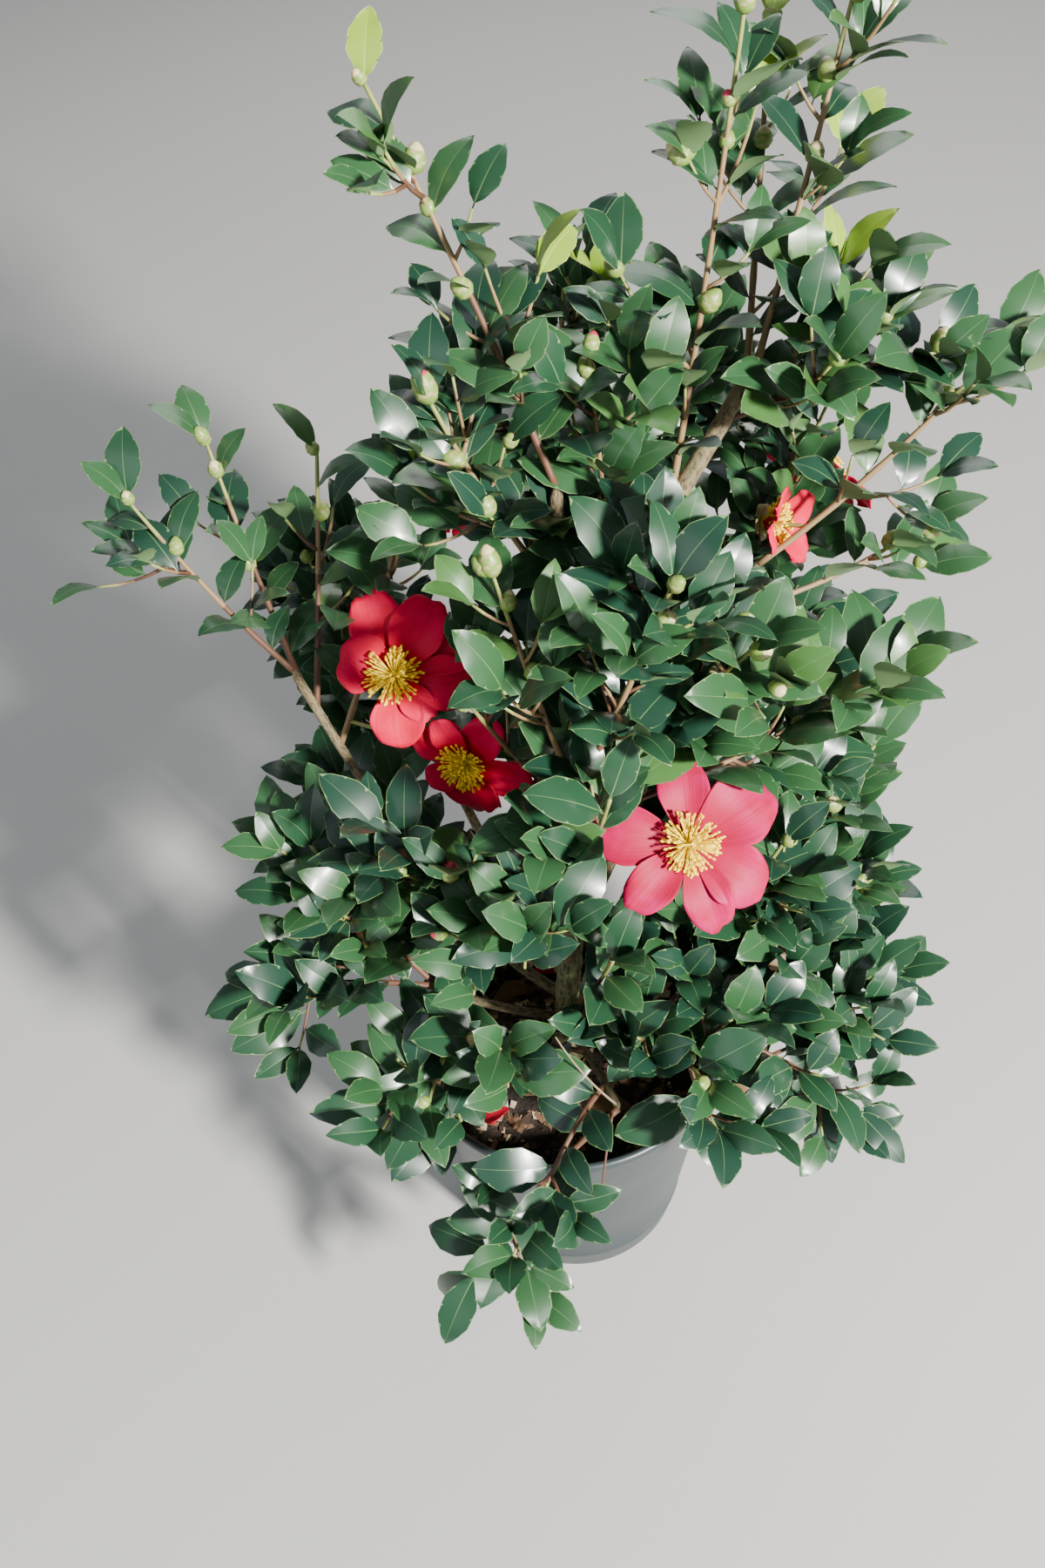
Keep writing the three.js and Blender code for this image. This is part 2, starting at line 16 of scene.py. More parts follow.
import bpy
import numpy as np
from mathutils import Matrix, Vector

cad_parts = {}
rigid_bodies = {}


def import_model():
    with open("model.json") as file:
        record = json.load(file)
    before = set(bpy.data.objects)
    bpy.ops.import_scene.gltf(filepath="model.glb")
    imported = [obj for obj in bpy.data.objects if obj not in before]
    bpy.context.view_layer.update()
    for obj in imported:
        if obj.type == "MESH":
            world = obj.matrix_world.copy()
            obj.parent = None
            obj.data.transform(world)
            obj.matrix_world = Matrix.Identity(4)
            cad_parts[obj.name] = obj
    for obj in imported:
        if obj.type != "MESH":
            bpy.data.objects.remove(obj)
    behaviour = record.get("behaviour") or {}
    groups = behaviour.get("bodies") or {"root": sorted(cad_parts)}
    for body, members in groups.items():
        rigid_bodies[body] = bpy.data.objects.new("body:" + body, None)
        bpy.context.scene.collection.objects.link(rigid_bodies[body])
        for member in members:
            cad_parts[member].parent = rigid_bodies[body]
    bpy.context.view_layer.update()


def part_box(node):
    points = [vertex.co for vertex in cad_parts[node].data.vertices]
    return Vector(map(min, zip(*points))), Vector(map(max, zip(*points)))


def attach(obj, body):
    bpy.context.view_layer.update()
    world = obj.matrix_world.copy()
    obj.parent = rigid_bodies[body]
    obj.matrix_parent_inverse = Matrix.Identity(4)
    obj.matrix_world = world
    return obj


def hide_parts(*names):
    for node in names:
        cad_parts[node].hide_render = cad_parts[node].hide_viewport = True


log = logging.getLogger("camellia")

Array = np.ndarray
MM = 0.001
UP = np.array([0.0, 0.0, 1.0])
RIGHT = np.array([1.0, 0.0, 0.0])
BODY = "root"


# Arithmetic on whole arrays of vectors


def unit(vectors: Array) -> Array:
    """Vectors scaled to a length of one along their last axis."""
    return vectors / np.maximum(np.linalg.norm(vectors, axis=-1, keepdims=True), 1e-9)


def square_to(facing: Array) -> tuple[Array, Array]:
    """Two directions square to each of these: a level one, and an upper one."""
    side = unit(np.cross(UP, facing))
    return side, np.cross(facing, side)


def turned(first: Array, second: Array, angle: float) -> Array:
    """The direction at an angle from the first of two square directions, toward the second."""
    return first * math.cos(angle) + second * math.sin(angle)


def chance(mass: int, twig: int, site: int, draw: int) -> float:
    """A repeatable number from 0 to 1 for four whole numbers, the same as in the solids."""
    value = math.sin(mass * 12.9898 + twig * 78.233 + site * 37.719 + draw * 4.581 + 1) * 43758.5453
    return value - math.floor(value)


def ripple(around: Array, along: Array, waves: Sequence[tuple[int, float, float]]) -> Array:
    """Smooth relief from -1 to 1: the mean of sine waves in two directions.

    Args:
        around: Angle of each point, in radians, on which every wave closes.
        along: Distance of each point along the piece.
        waves: For each wave, its whole count round the piece, its length and its phase.

    Returns:
        The relief, in the shape of the two inputs together.
    """
    return sum(
        np.sin(count * around + 2 * math.pi * along / length + phase) for count, length, phase in waves
    ) / len(waves)


class Line:
    """A quadratic curve in one upright plane, measured by its own length from 0 to 1."""

    DIVISIONS = 200

    def __init__(self, start: Array, knee: Array, end: Array) -> None:
        """Keeps the three points and measures the curve.

        Args:
            start: Where the curve begins.
            knee: The point that pulls its middle.
            end: Where it ends.
        """
        self.start, self.knee, self.end = (np.asarray(p, float) for p in (start, knee, end))
        steps = np.linspace(0, 1, self.DIVISIONS + 1)
        chords = np.linalg.norm(np.diff(self._curve(steps), axis=0), axis=1)
        self._steps = steps
        self._lengths = np.concatenate([[0.0], np.cumsum(chords)])
        self.length = float(self._lengths[-1])
        level = np.cross(self.end - self.start, UP)
        self.level = RIGHT.copy() if np.linalg.norm(level) < 1 else unit(level)

    @classmethod
    def bowed(cls, start: Array, end: Array, bow: float) -> "Line":
        """A line whose middle hangs `bow` below the straight one from start to end."""
        start, end = np.asarray(start, float), np.asarray(end, float)
        return cls(start, (start + end) / 2 - 2 * bow * UP, end)

    def _curve(self, t: Array) -> Array:
        """The curve at its own parameter: (1-t)^2 start + 2t(1-t) knee + t^2 end."""
        t = np.asarray(t, float)[..., None]
        return (1 - t) ** 2 * self.start + 2 * t * (1 - t) * self.knee + t**2 * self.end

    def _parameter(self, at: Array) -> Array:
        """The curve's own parameter at a fraction of its length."""
        return np.interp(np.asarray(at, float) * self.length, self._lengths, self._steps)

    def point(self, at: Array) -> Array:
        """Points at fractions of the length."""
        return self._curve(self._parameter(at))

    def tangent(self, at: Array) -> Array:
        """Directions at fractions of the length."""
        t = self._parameter(at)[..., None]
        return unit((1 - t) * (self.knee - self.start) + t * (self.end - self.knee))

    def outward(self, at: Array, around: Array) -> Array:
        """Directions away from the line: level * cos(around) + upper * sin(around).

        Args:
            at: Fractions of the length.
            around: Angles in radians, from the level side to the upper one.

        Returns:
            Unit vectors, in the shape of the two inputs together.
        """
        tangent = self.tangent(at)
        upper = np.cross(np.broadcast_to(self.level, tangent.shape), tangent)
        around = np.asarray(around, float)[..., None]
        return self.level * np.cos(around) + upper * np.sin(around)

    def branch(self, at: float, around: float, shares: tuple[float, float, float]) -> Array:
        """Works out the direction in which something leaves the line.

        Args:
            at: Where, as a fraction of the length.
            around: The angle about the line, in radians.
            shares: How much it takes of the line's own direction, of straight out and of straight up.

        Returns:
            A unit vector.
        """
        ahead, aside, upward = shares
        return unit(ahead * self.tangent(at) + aside * self.outward(at, around) + upward * UP)


# Meshes, gathered as arrays


def grid_faces(rows: int, columns: int, closed: bool = False) -> Array:
    """The quads of a grid of points.

    Args:
        rows: How many rows of quads.
        columns: How many quads in a row.
        closed: Whether the last column joins the first.

    Returns:
        Four point numbers for each quad, row after row.
    """
    width = columns if closed else columns + 1
    row, column = np.divmod(np.arange(rows * columns), columns)
    here, follows = row * width + column, row * width + (column + 1) % width
    return np.stack([here, follows, follows + width, here + width], axis=1)


class Pile:
    """Shapes of one kind, gathered as arrays and written as one mesh."""

    def __init__(self) -> None:
        """Starts with no points."""
        self._points: list[Array] = []
        self._corners: list[Array] = []
        self._faces: list[Array] = []
        self._slots: list[Array] = []
        self._count = 0

    def add(
        self, points: Array, faces: Iterable[Array], slots: Iterable[Any], places: Array | None = None
    ) -> None:
        """Adds one shape.

        Args:
            points: Its points, in millimetres.
            faces: Arrays of faces, each with faces of one size.
            slots: For each of those arrays, the finish's number, or one for each face.
            places: The points' own coordinates on the surface, for patterns that follow it.
        """
        points = np.asarray(points, float).reshape(-1, 3)
        places = np.zeros((len(points), 2)) if places is None else np.asarray(places, float).reshape(-1, 2)
        for group, slot in zip(faces, slots, strict=True):
            self._faces.append(np.asarray(group, int) + self._count)
            self._slots.append(np.broadcast_to(np.asarray(slot, int), len(group)))
            corners = places[np.asarray(group, int)]
            across = corners[..., 0]
            # A face that crosses the seam at 0 runs on past 1.
            wraps = np.ptp(across, axis=1, keepdims=True) > 0.5
            across += wraps & (across < 0.5)
            self._corners.append(corners.reshape(-1, 2))
        self._points.append(points)
        self._count += len(points)

    def add_rings(
        self, points: Array, slots: Any, travelled: Array | None = None, clockwise: bool = False
    ) -> None:
        """Adds rings of points, joined into a closed tube with flat ends.

        Args:
            points: The points, (ring, place round it, 3).
            slots: The finish's number, one for each band, (bands, 1), or one for each face.
            travelled: How far along the piece each ring lies, for patterns that follow the surface.
            clockwise: Whether the points run clockwise round each ring, seen from the last one.
        """
        bands, facets = points.shape[0] - 1, points.shape[1]
        end = np.arange(facets)[None]
        faces = [grid_faces(bands, facets, closed=True), end[:, ::-1], end + bands * facets]
        if clockwise:
            faces = [group[:, ::-1] for group in faces]
        slots = np.broadcast_to(np.asarray(slots, int), (bands, facets))
        places = None
        if travelled is not None:
            places = np.stack(np.broadcast_arrays(np.arange(facets) / facets, travelled[:, None]), axis=-1)
        self.add(points, faces, [slots.ravel(), slots[0, :1], slots[-1, :1]], places)

    def mesh(self, name: str) -> bpy.types.Mesh:
        """Makes all the shapes one mesh, smooth and without finishes.

        Args:
            name: The mesh's name.

        Returns:
            The mesh, in metres.
        """
        points = np.concatenate(self._points) * MM
        corners = np.concatenate([group.ravel() for group in self._faces])
        sizes = np.concatenate([np.full(len(group), group.shape[1]) for group in self._faces])
        mesh = bpy.data.meshes.new(name)
        mesh.vertices.add(len(points))
        mesh.vertices.foreach_set("co", points.astype(np.float32).ravel())
        mesh.loops.add(len(corners))
        mesh.loops.foreach_set("vertex_index", corners.astype(np.int32))
        mesh.polygons.add(len(sizes))
        mesh.polygons.foreach_set("loop_start", (np.cumsum(sizes) - sizes).astype(np.int32))
        mesh.polygons.foreach_set("material_index", np.concatenate(self._slots).astype(np.int32))
        mesh.polygons.foreach_set("use_smooth", np.ones(len(sizes), bool))
        places = mesh.uv_layers.new(name="places")
        places.data.foreach_set("uv", np.concatenate(self._corners).astype(np.float32).ravel())
        mesh.update(calc_edges=True)
        return mesh

    def write(
        self,
        name: str,
        finishes: Sequence["Finish"],
        slot: str = "",
        nodes: Sequence[str] = (),
        sharp: float | None = None,
    ) -> bpy.types.Object:
        """Makes the one object of all the shapes, riding on the shrub's body.

        Args:
            name: The piece's name.
            finishes: Its finishes, in the order of their numbers.
            slot: The slot that it belongs to, where it has one. It is not used.
            nodes: The solids that it stands for.
            sharp: The angle in degrees above which an edge stays crisp, or None for a smooth piece.

        Returns:
            The new object.
        """
        mesh = self.mesh(name)
        if sharp is not None:
            mesh.set_sharp_from_angle(angle=math.radians(sharp))
        for finish in finishes:
            mesh.materials.append(finish.material())
        piece = bpy.data.objects.new(name, mesh)
        bpy.context.scene.collection.objects.link(piece)
        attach(piece, BODY)
        if nodes:
            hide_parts(*nodes)
        log.info("%s: %d triangles", name, sum(len(face.vertices) - 2 for face in mesh.polygons))
        return piece


def add_tube(
    pile: Pile,
    line: Line,
    radius: Callable[[Array], Array],
    sides: int,
    rings: int,
    slot: Any,
    relief: Callable[[Array, Array], Array] | None = None,
) -> None:
    """Adds a closed tube: circles carried along a line.

    A point is line(v) + (radius(v) + relief) * (level * cos(u) + upper * sin(u)).

    Args:
        pile: Where the tube goes.
        line: Its middle line.
        radius: The radius at each fraction of the length.
        sides: How many points round it.
        rings: How many bands along it.
        slot: The finish's number, or one for each band.
        relief: Height in millimetres of the surface, from its angle and its distance along the line.
    """
    along = np.linspace(0, 1, rings + 1)
    around = np.linspace(0, 2 * math.pi, sides, endpoint=False)
    out = line.outward(along[:, None], around[None, :])
    reach = radius(along)[:, None] + np.zeros((rings + 1, sides))
    if relief is not None:
        reach = reach + relief(around[None, :], along[:, None] * line.length)
    points = line.point(along)[:, None, :] + out * reach[..., None]
    pile.add_rings(points, np.reshape(slot, (-1, 1)), along * line.length, clockwise=True)


def add_turned(
    pile: Pile, profile: Array, facets: int, relief: Callable[[Array, Array], Array] | None = None
) -> None:
    """Adds a profile turned round the upright axis: (r cos u, r sin u, z) along the profile.

    Args:
        pile: Where the shape goes.
        profile: Radius and height of each point, from near the axis at the bottom to near it at the top.
            Each end is closed with a flat cap.
        facets: How many points round it.
        relief: Added height, from the radius and the angle.
    """
    around = np.linspace(0, 2 * math.pi, facets, endpoint=False)
    radius, height = profile[:, :1], profile[:, 1:] + np.zeros(facets)
    if relief is not None:
        height = height + relief(radius, around[None, :])
    points = np.stack([radius * np.cos(around), radius * np.sin(around), height], axis=-1)
    travelled = np.concatenate([[0.0], np.cumsum(np.hypot(*np.diff(profile, axis=0).T))])
    pile.add_rings(points, 0, travelled)


# Finishes

Colour = tuple[float, float, float]


class Socket:
    """A node's output, with Python's operators for the maths on it."""

    def __init__(self, shader: "Shader", link: bpy.types.NodeSocket) -> None:
        """Keeps the shader and the output."""
        self.shader, self.link = shader, link

    def _math(self, operation: str, first: Any, second: Any) -> "Socket":
        """One Math node on two values."""
        return self.shader.node("ShaderNodeMath", {"operation": operation}, {0: first, 1: second})

    def __add__(self, other: Any) -> "Socket":
        """Sum."""
        return self._math("ADD", self, other)

    __radd__ = __add__

    def __sub__(self, other: Any) -> "Socket":
        """Difference."""
        return self._math("SUBTRACT", self, other)

    def __rsub__(self, other: Any) -> "Socket":
        """Difference from a number."""
        return self._math("SUBTRACT", other, self)

    def __mul__(self, other: Any) -> "Socket":
        """Product."""
        return self._math("MULTIPLY", self, other)

    __rmul__ = __mul__

    def over(self, low: float, high: float) -> "Socket":
        """Makes a soft step of the value.

        Args:
            low: Where the step starts, at 0.
            high: Where it ends, at 1.

        Returns:
            The step.
        """
        settings = {"interpolation_type": "SMOOTHSTEP"}
        inputs = {"Value": self, "From Min": low, "From Max": high}
        return self.shader.node("ShaderNodeMapRange", settings, inputs)


class Shader:
    """A material's nodes, added one at a time."""

    def __init__(self, name: str) -> None:
        """Starts a material with its surface shader.

        Args:
            name: The material's name.
        """
        self.material = bpy.data.materials.new(name)
        self.material.use_nodes = True
        self.tree = self.material.node_tree
        self.surface = self.tree.nodes["Principled BSDF"]

    def node(self, kind: str, settings: dict[str, Any], inputs: dict[Any, Any], output: Any = 0) -> Socket:
        """Adds a node.

        Args:
            kind: The node's type.
            settings: Its settings, such as a Math node's operation, which are set first.
            inputs: Values or sockets for its inputs, by name or number.
            output: Which output is wanted.

        Returns:
            That output.
        """
        made = self.tree.nodes.new(kind)
        for key, value in settings.items():
            setattr(made, key, value)
        for key, value in inputs.items():
            self.put(made.inputs[key], value)
        return Socket(self, made.outputs[output])

    def put(self, target: bpy.types.NodeSocket, value: Any) -> None:
        """Links or sets one input.

        Args:
            target: The input.
            value: A socket, a colour, a vector or a number.
        """
        if isinstance(value, Socket):
            self.tree.links.new(value.link, target)
        elif target.type == "RGBA":
            target.default_value = (*value, 1.0)
        else:
            target.default_value = value

    def set(self, **sockets: Any) -> None:
        """Sets the surface's sockets; an underscore in a name stands for a space."""
        for key, value in sockets.items():
            self.put(self.surface.inputs[key.replace("_", " ")], value)

    def object_place(self, scale: tuple[float, float, float] = (1, 1, 1)) -> Socket:
        """Object coordinates, stretched by a scale along each axis."""
        place = self.node("ShaderNodeTexCoord", {}, {}, "Object")
        return self.node("ShaderNodeMapping", {}, {"Vector": place, "Scale": scale})

    def own_place(self, scale: tuple[float, float, float] = (1, 1, 1)) -> Socket:
        """The piece's own surface coordinates, stretched by a scale."""
        place = self.node("ShaderNodeUVMap", {"uv_map": "places"}, {})
        return self.node("ShaderNodeMapping", {}, {"Vector": place, "Scale": scale})

    def round_place(self, reach: float, run: float) -> Socket:
        """A limb's own coordinates bent into a ring, so that a pattern closes round it.

        Args:
            reach: The ring's radius in pattern units.
            run: Pattern units for each millimetre along the limb.

        Returns:
            The place on the ring.
        """
        place = self.node("ShaderNodeUVMap", {"uv_map": "places"}, {})
        turn = self.node("ShaderNodeSeparateXYZ", {}, {"Vector": place}, "X") * (2 * math.pi)
        along = self.node("ShaderNodeSeparateXYZ", {}, {"Vector": place}, "Y") * run
        across = self.node("ShaderNodeMath", {"operation": "COSINE"}, {0: turn}) * reach
        back = self.node("ShaderNodeMath", {"operation": "SINE"}, {0: turn}) * reach
        return self.node("ShaderNodeCombineXYZ", {}, {"X": across, "Y": back, "Z": along})

    def noise(self, place: Socket, scale: float, detail: float = 3, roughness: float = 0.55) -> Socket:
        """Cloudy noise from 0 to 1."""
        inputs = {"Vector": place, "Scale": scale, "Detail": detail, "Roughness": roughness}
        return self.node("ShaderNodeTexNoise", {}, inputs)

    def mix(self, share: Any, first: Any, second: Any) -> Socket:
        """One colour turning into another with the share."""
        return self.node("ShaderNodeMix", {"data_type": "RGBA"}, {0: share, 6: first, 7: second}, 2)

    def bump(self, height: Socket, depth: float, strength: float = 1.0) -> Socket:
        """A normal from a height of 0 to 1 that stands for that depth in metres."""
        inputs = {"Height": height, "Distance": depth, "Strength": strength}
        return self.node("ShaderNodeBump", {}, inputs, "Normal")


@dataclass(frozen=True)
class Finish:
    """A surface that becomes one material, however many pieces wear it."""

    name: str

    def paint(self, shader: Shader) -> None:
        """Adds the finish's nodes to its shader."""
        raise NotImplementedError

    @cache
    def material(self) -> bpy.types.Material:
        """Makes the material the first time it is asked for.

        Returns:
            The material.
        """
        shader = Shader(self.name)
        self.paint(shader)
        return shader.material


@dataclass(frozen=True)
class PlainFinish(Finish):
    """A living surface of one tone, dealt out among pieces of the same kind."""

    colour: Colour
    roughness: float = 0.4
    coat: float = 0.0
    coat_roughness: float = 0.15

    def paint(self, shader: Shader) -> None:
        """Sets one tone under a thin coat.

        Args:
            shader: The finish's shader.
        """
        shader.set(
            Base_Color=self.colour,
            Roughness=self.roughness,
            Coat_Weight=self.coat,
            Coat_Roughness=self.coat_roughness,
        )


@dataclass(frozen=True)
class BarkFinish(Finish):
    """Fine bark in long plates with darker cracks, and a greenish film on it."""

    plate: Colour
    crack: Colour
    film: Colour
    ridges: float = 2.6
    run: float = 0.16

    def paint(self, shader: Shader) -> None:
        """Draws noise out along the limb, which gives the plates and their cracks.

        Args:
            shader: The finish's shader.
        """
        plates = shader.noise(shader.round_place(self.ridges, self.run), 1.6, 5, 0.62)
        fibres = shader.noise(shader.round_place(3 * self.ridges, self.run), 2.2, 3, 0.6)
        cracks = 1 - plates.over(0.38, 0.56)
        film = shader.noise(shader.object_place(), 55, 2).over(0.4, 0.66)
        bark = shader.mix(film * 0.75, self.plate, self.film)
        shader.set(
            Base_Color=shader.mix(cracks * 0.85, bark, self.crack),
            Roughness=0.7 + plates * 0.2,
            Normal=shader.bump(plates * 0.75 + fibres * 0.25, 0.0012),
        )


@dataclass(frozen=True)
class PotFinish(Finish):
    """Dark moulded plastic with a satin skin, fine scuffs and dried splashes near its foot."""

    name: str = "pot_plastic"
    plastic: Colour = (0.03, 0.042, 0.045)
    dust: Colour = (0.1, 0.115, 0.11)
    splash_height: float = 0.07

    def paint(self, shader: Shader) -> None:
        """Lays dust in clouds, thicker near the foot, and level scuffs on the plastic.

        Args:
            shader: The finish's shader.
        """
        place = shader.object_place()
        grain = shader.noise(place, 900, 2)
        clouds = shader.noise(place, 26, 4, 0.6)
        scuffs = shader.noise(shader.object_place((1, 1, 6)), 90, 3, 0.7).over(0.62, 0.74)
        height = shader.node("ShaderNodeSeparateXYZ", {}, {"Vector": place}, "Z")
        low = 1 - height.over(0.0, self.splash_height)
        dusty = clouds.over(0.5, 0.75) * (0.12 + low * 0.4) + scuffs * 0.1
        shader.set(
            Base_Color=shader.mix(dusty, self.plastic, self.dust),
            Roughness=0.33 + dusty * 0.4 + grain * 0.08,
            Normal=shader.bump(grain, 0.00008, 0.6),
        )


@dataclass(frozen=True)
class SoilFinish(Finish):
    """Moist, crumbly potting mix."""

    name: str = "potting_mix"
    moist: Colour = (0.014, 0.009, 0.006)
    crumb: Colour = (0.075, 0.045, 0.026)

    def paint(self, shader: Shader) -> None:
        """Scatters paler crumbs in patches over the moist mix.

        Args:
            shader: The finish's shader.
        """
        place = shader.object_place()
        crumbs = shader.noise(place, 260, 6, 0.7)
        patches = shader.noise(place, 45, 3)
        shader.set(
            Base_Color=shader.mix(crumbs.over(0.4, 0.72) * patches.over(0.3, 0.7), self.moist, self.crumb),
            Roughness=0.7 + crumbs * 0.25,
            Normal=shader.bump(crumbs, 0.003),
        )


@dataclass(frozen=True)
class PetalFinish(Finish):
    """Velvet petals with fine veins along them and a paler bloom at their rims."""

    deep: Colour
    rim: Colour

    def paint(self, shader: Shader) -> None:
        """Draws veins along the petal's own coordinates, which run across it and from root to rim.

        Args:
            shader: The finish's shader.
        """
        veins = shader.noise(shader.own_place((26, 1.1, 1)), 1.0, 3, 0.6)
        clouds = shader.noise(shader.object_place(), 70, 3)
        along = shader.node("ShaderNodeSeparateXYZ", {}, {"Vector": shader.own_place()}, "Y")
        bloom = along.over(0.15, 1.0) * clouds.over(0.35, 0.65)
        colour = shader.mix(bloom * 0.9, self.deep, self.rim)
        shader.set(
            Base_Color=shader.mix(veins.over(0.5, 0.85) * 0.35, colour, self.deep),
            Roughness=0.5,
            Specular_IOR_Level=0.15,
            Sheen_Weight=0.01,
            Sheen_Roughness=0.4,
            Sheen_Tint=(1.0, 0.25, 0.3),
            Normal=shader.bump(veins, 0.0003),
        )


class Leaf(IntEnum):
    """The numbers of the finishes on a piece of leaves."""

    # The first four run from dark to light green: painted shade on low leaves and painted light on high ones,
    # besides their own random spread.
    SHADE = 0
    DEEP = 1
    GREEN = 2
    FRESH_LIT = 3
    YOUNG = 4
    OLD = 5
    MARGIN = 6
    YOUNG_MARGIN = 7
    RIB = 8
    UNDER = 9


# The first four greens are partly painted light: the darkest stands for leaves in shade and the lightest for
# sunlit ones. They also carry the leaves' own spread of tone.
LEAF_FINISHES = (
    PlainFinish("leaf_shade_blue_green", (0.01, 0.04, 0.023), 0.34, 0.14),
    PlainFinish("leaf_deep_green", (0.013, 0.052, 0.023), 0.34, 0.14),
    PlainFinish("leaf_green", (0.024, 0.08, 0.028), 0.35, 0.14),
    PlainFinish("leaf_fresh_lit_green", (0.05, 0.132, 0.032), 0.36, 0.12),
    PlainFinish("leaf_young_lime", (0.24, 0.38, 0.03), 0.4, 0.2),
    PlainFinish("leaf_old_brown", (0.17, 0.065, 0.03), 0.5, 0.1),
    PlainFinish("leaf_margin", (0.11, 0.18, 0.06), 0.42, 0.15),
    PlainFinish("leaf_young_margin", (0.42, 0.5, 0.1), 0.42, 0.2),
    PlainFinish("leaf_rib", (0.085, 0.165, 0.06), 0.4, 0.2),
    PlainFinish("leaf_underside", (0.11, 0.19, 0.075), 0.6),
)


class Wood(IntEnum):
    """The numbers of the finishes on a piece of twigs."""

    BROWN = 0
    TAN = 1
    GREEN = 2
    DEAD = 3


WOOD_FINISHES = (
    PlainFinish("twig_red_brown", (0.12, 0.054, 0.028), 0.55),
    PlainFinish("twig_tan", (0.26, 0.165, 0.075), 0.55),
    PlainFinish("twig_green", (0.26, 0.28, 0.075), 0.5),
    PlainFinish("twig_dead", (0.24, 0.18, 0.11), 0.75),
)


class Scale(IntEnum):
    """The numbers of the finishes on a piece of buds."""

    GREEN = 0
    CREAM = 1
    RIM = 2
    ROSE = 3


BUD_FINISHES = (
    PlainFinish("bud_scale", (0.2, 0.31, 0.06), 0.4, 0.12),
    PlainFinish("bud_tip_cream", (0.6, 0.52, 0.26), 0.45, 0.1),
    PlainFinish("bud_scale_rim", (0.36, 0.33, 0.14), 0.5),
    PlainFinish("bud_tip_rose", (0.5, 0.03, 0.07), 0.42, 0.1),
)


# The shrub's driving sizes, in millimetres


@dataclass(frozen=True)
class Bough:
    """One limb: its parent, where it leaves it, where it ends, its hang and its diameters."""

    parent: str
    at: float
    to: tuple[float, float, float]
    bow: float
    thick: float
    thin: float


@dataclass(frozen=True)
class Mass:
    """One foliage mass: its stem as for a bough, and what the stem carries.

    `twigs` are the number and the length of its side twigs, `buds` the number of its buds, and `fullness`
    the share of the usual finer twigs.
    """

    parent: str
    at: float
    to: tuple[float, float, float]
    bow: float
    twigs: tuple[int, float]
    buds: int
    fullness: float


TRUNK_TOP = (47, 85, 394)
TRUNK_FOOT = (0, 5, 128.3)
TRUNK_BEND_HEIGHT = 240
TRUNK_THICK = 13
TRUNK_THIN = 9.4

BOUGHS = {
    "leader": Bough("trunk", 1, (100, 115, 468), 2, 9.2, 6.6),
    "left_leader": Bough("trunk", 0.3, (12, 75, 441), 8, 7.4, 5.6),
    "left": Bough("trunk", 0.16, (-113, 84, 346), 40, 6, 4.2),
    "front": Bough("trunk", 0.24, (11, -5, 346), 14, 6.6, 4.6),
    "right": Bough("trunk", 0.46, (101, 88, 382), 12, 6.4, 4.6),
    "right_low": Bough("trunk", 0.07, (76, -28, 182), -4, 5.2, 3.8),
    "front_low": Bough("trunk", 0.06, (20, -68, 190), -8, 4.8, 3.6),
    "left_low": Bough("trunk", 0.1, (-66, -6, 214), 4, 5.2, 3.8),
    "back": Bough("trunk", 0.38, (14, 168, 352), 16, 6.6, 4.6),
    "back_left": Bough("trunk", 0.2, (-62, 128, 268), 12, 6, 4.2),
    "back_right": Bough("trunk", 0.3, (92, 150, 300), 14, 6, 4.2),
    "back_low": Bough("trunk", 0.12, (16, 98, 200), 2, 5.2, 3.8),
}

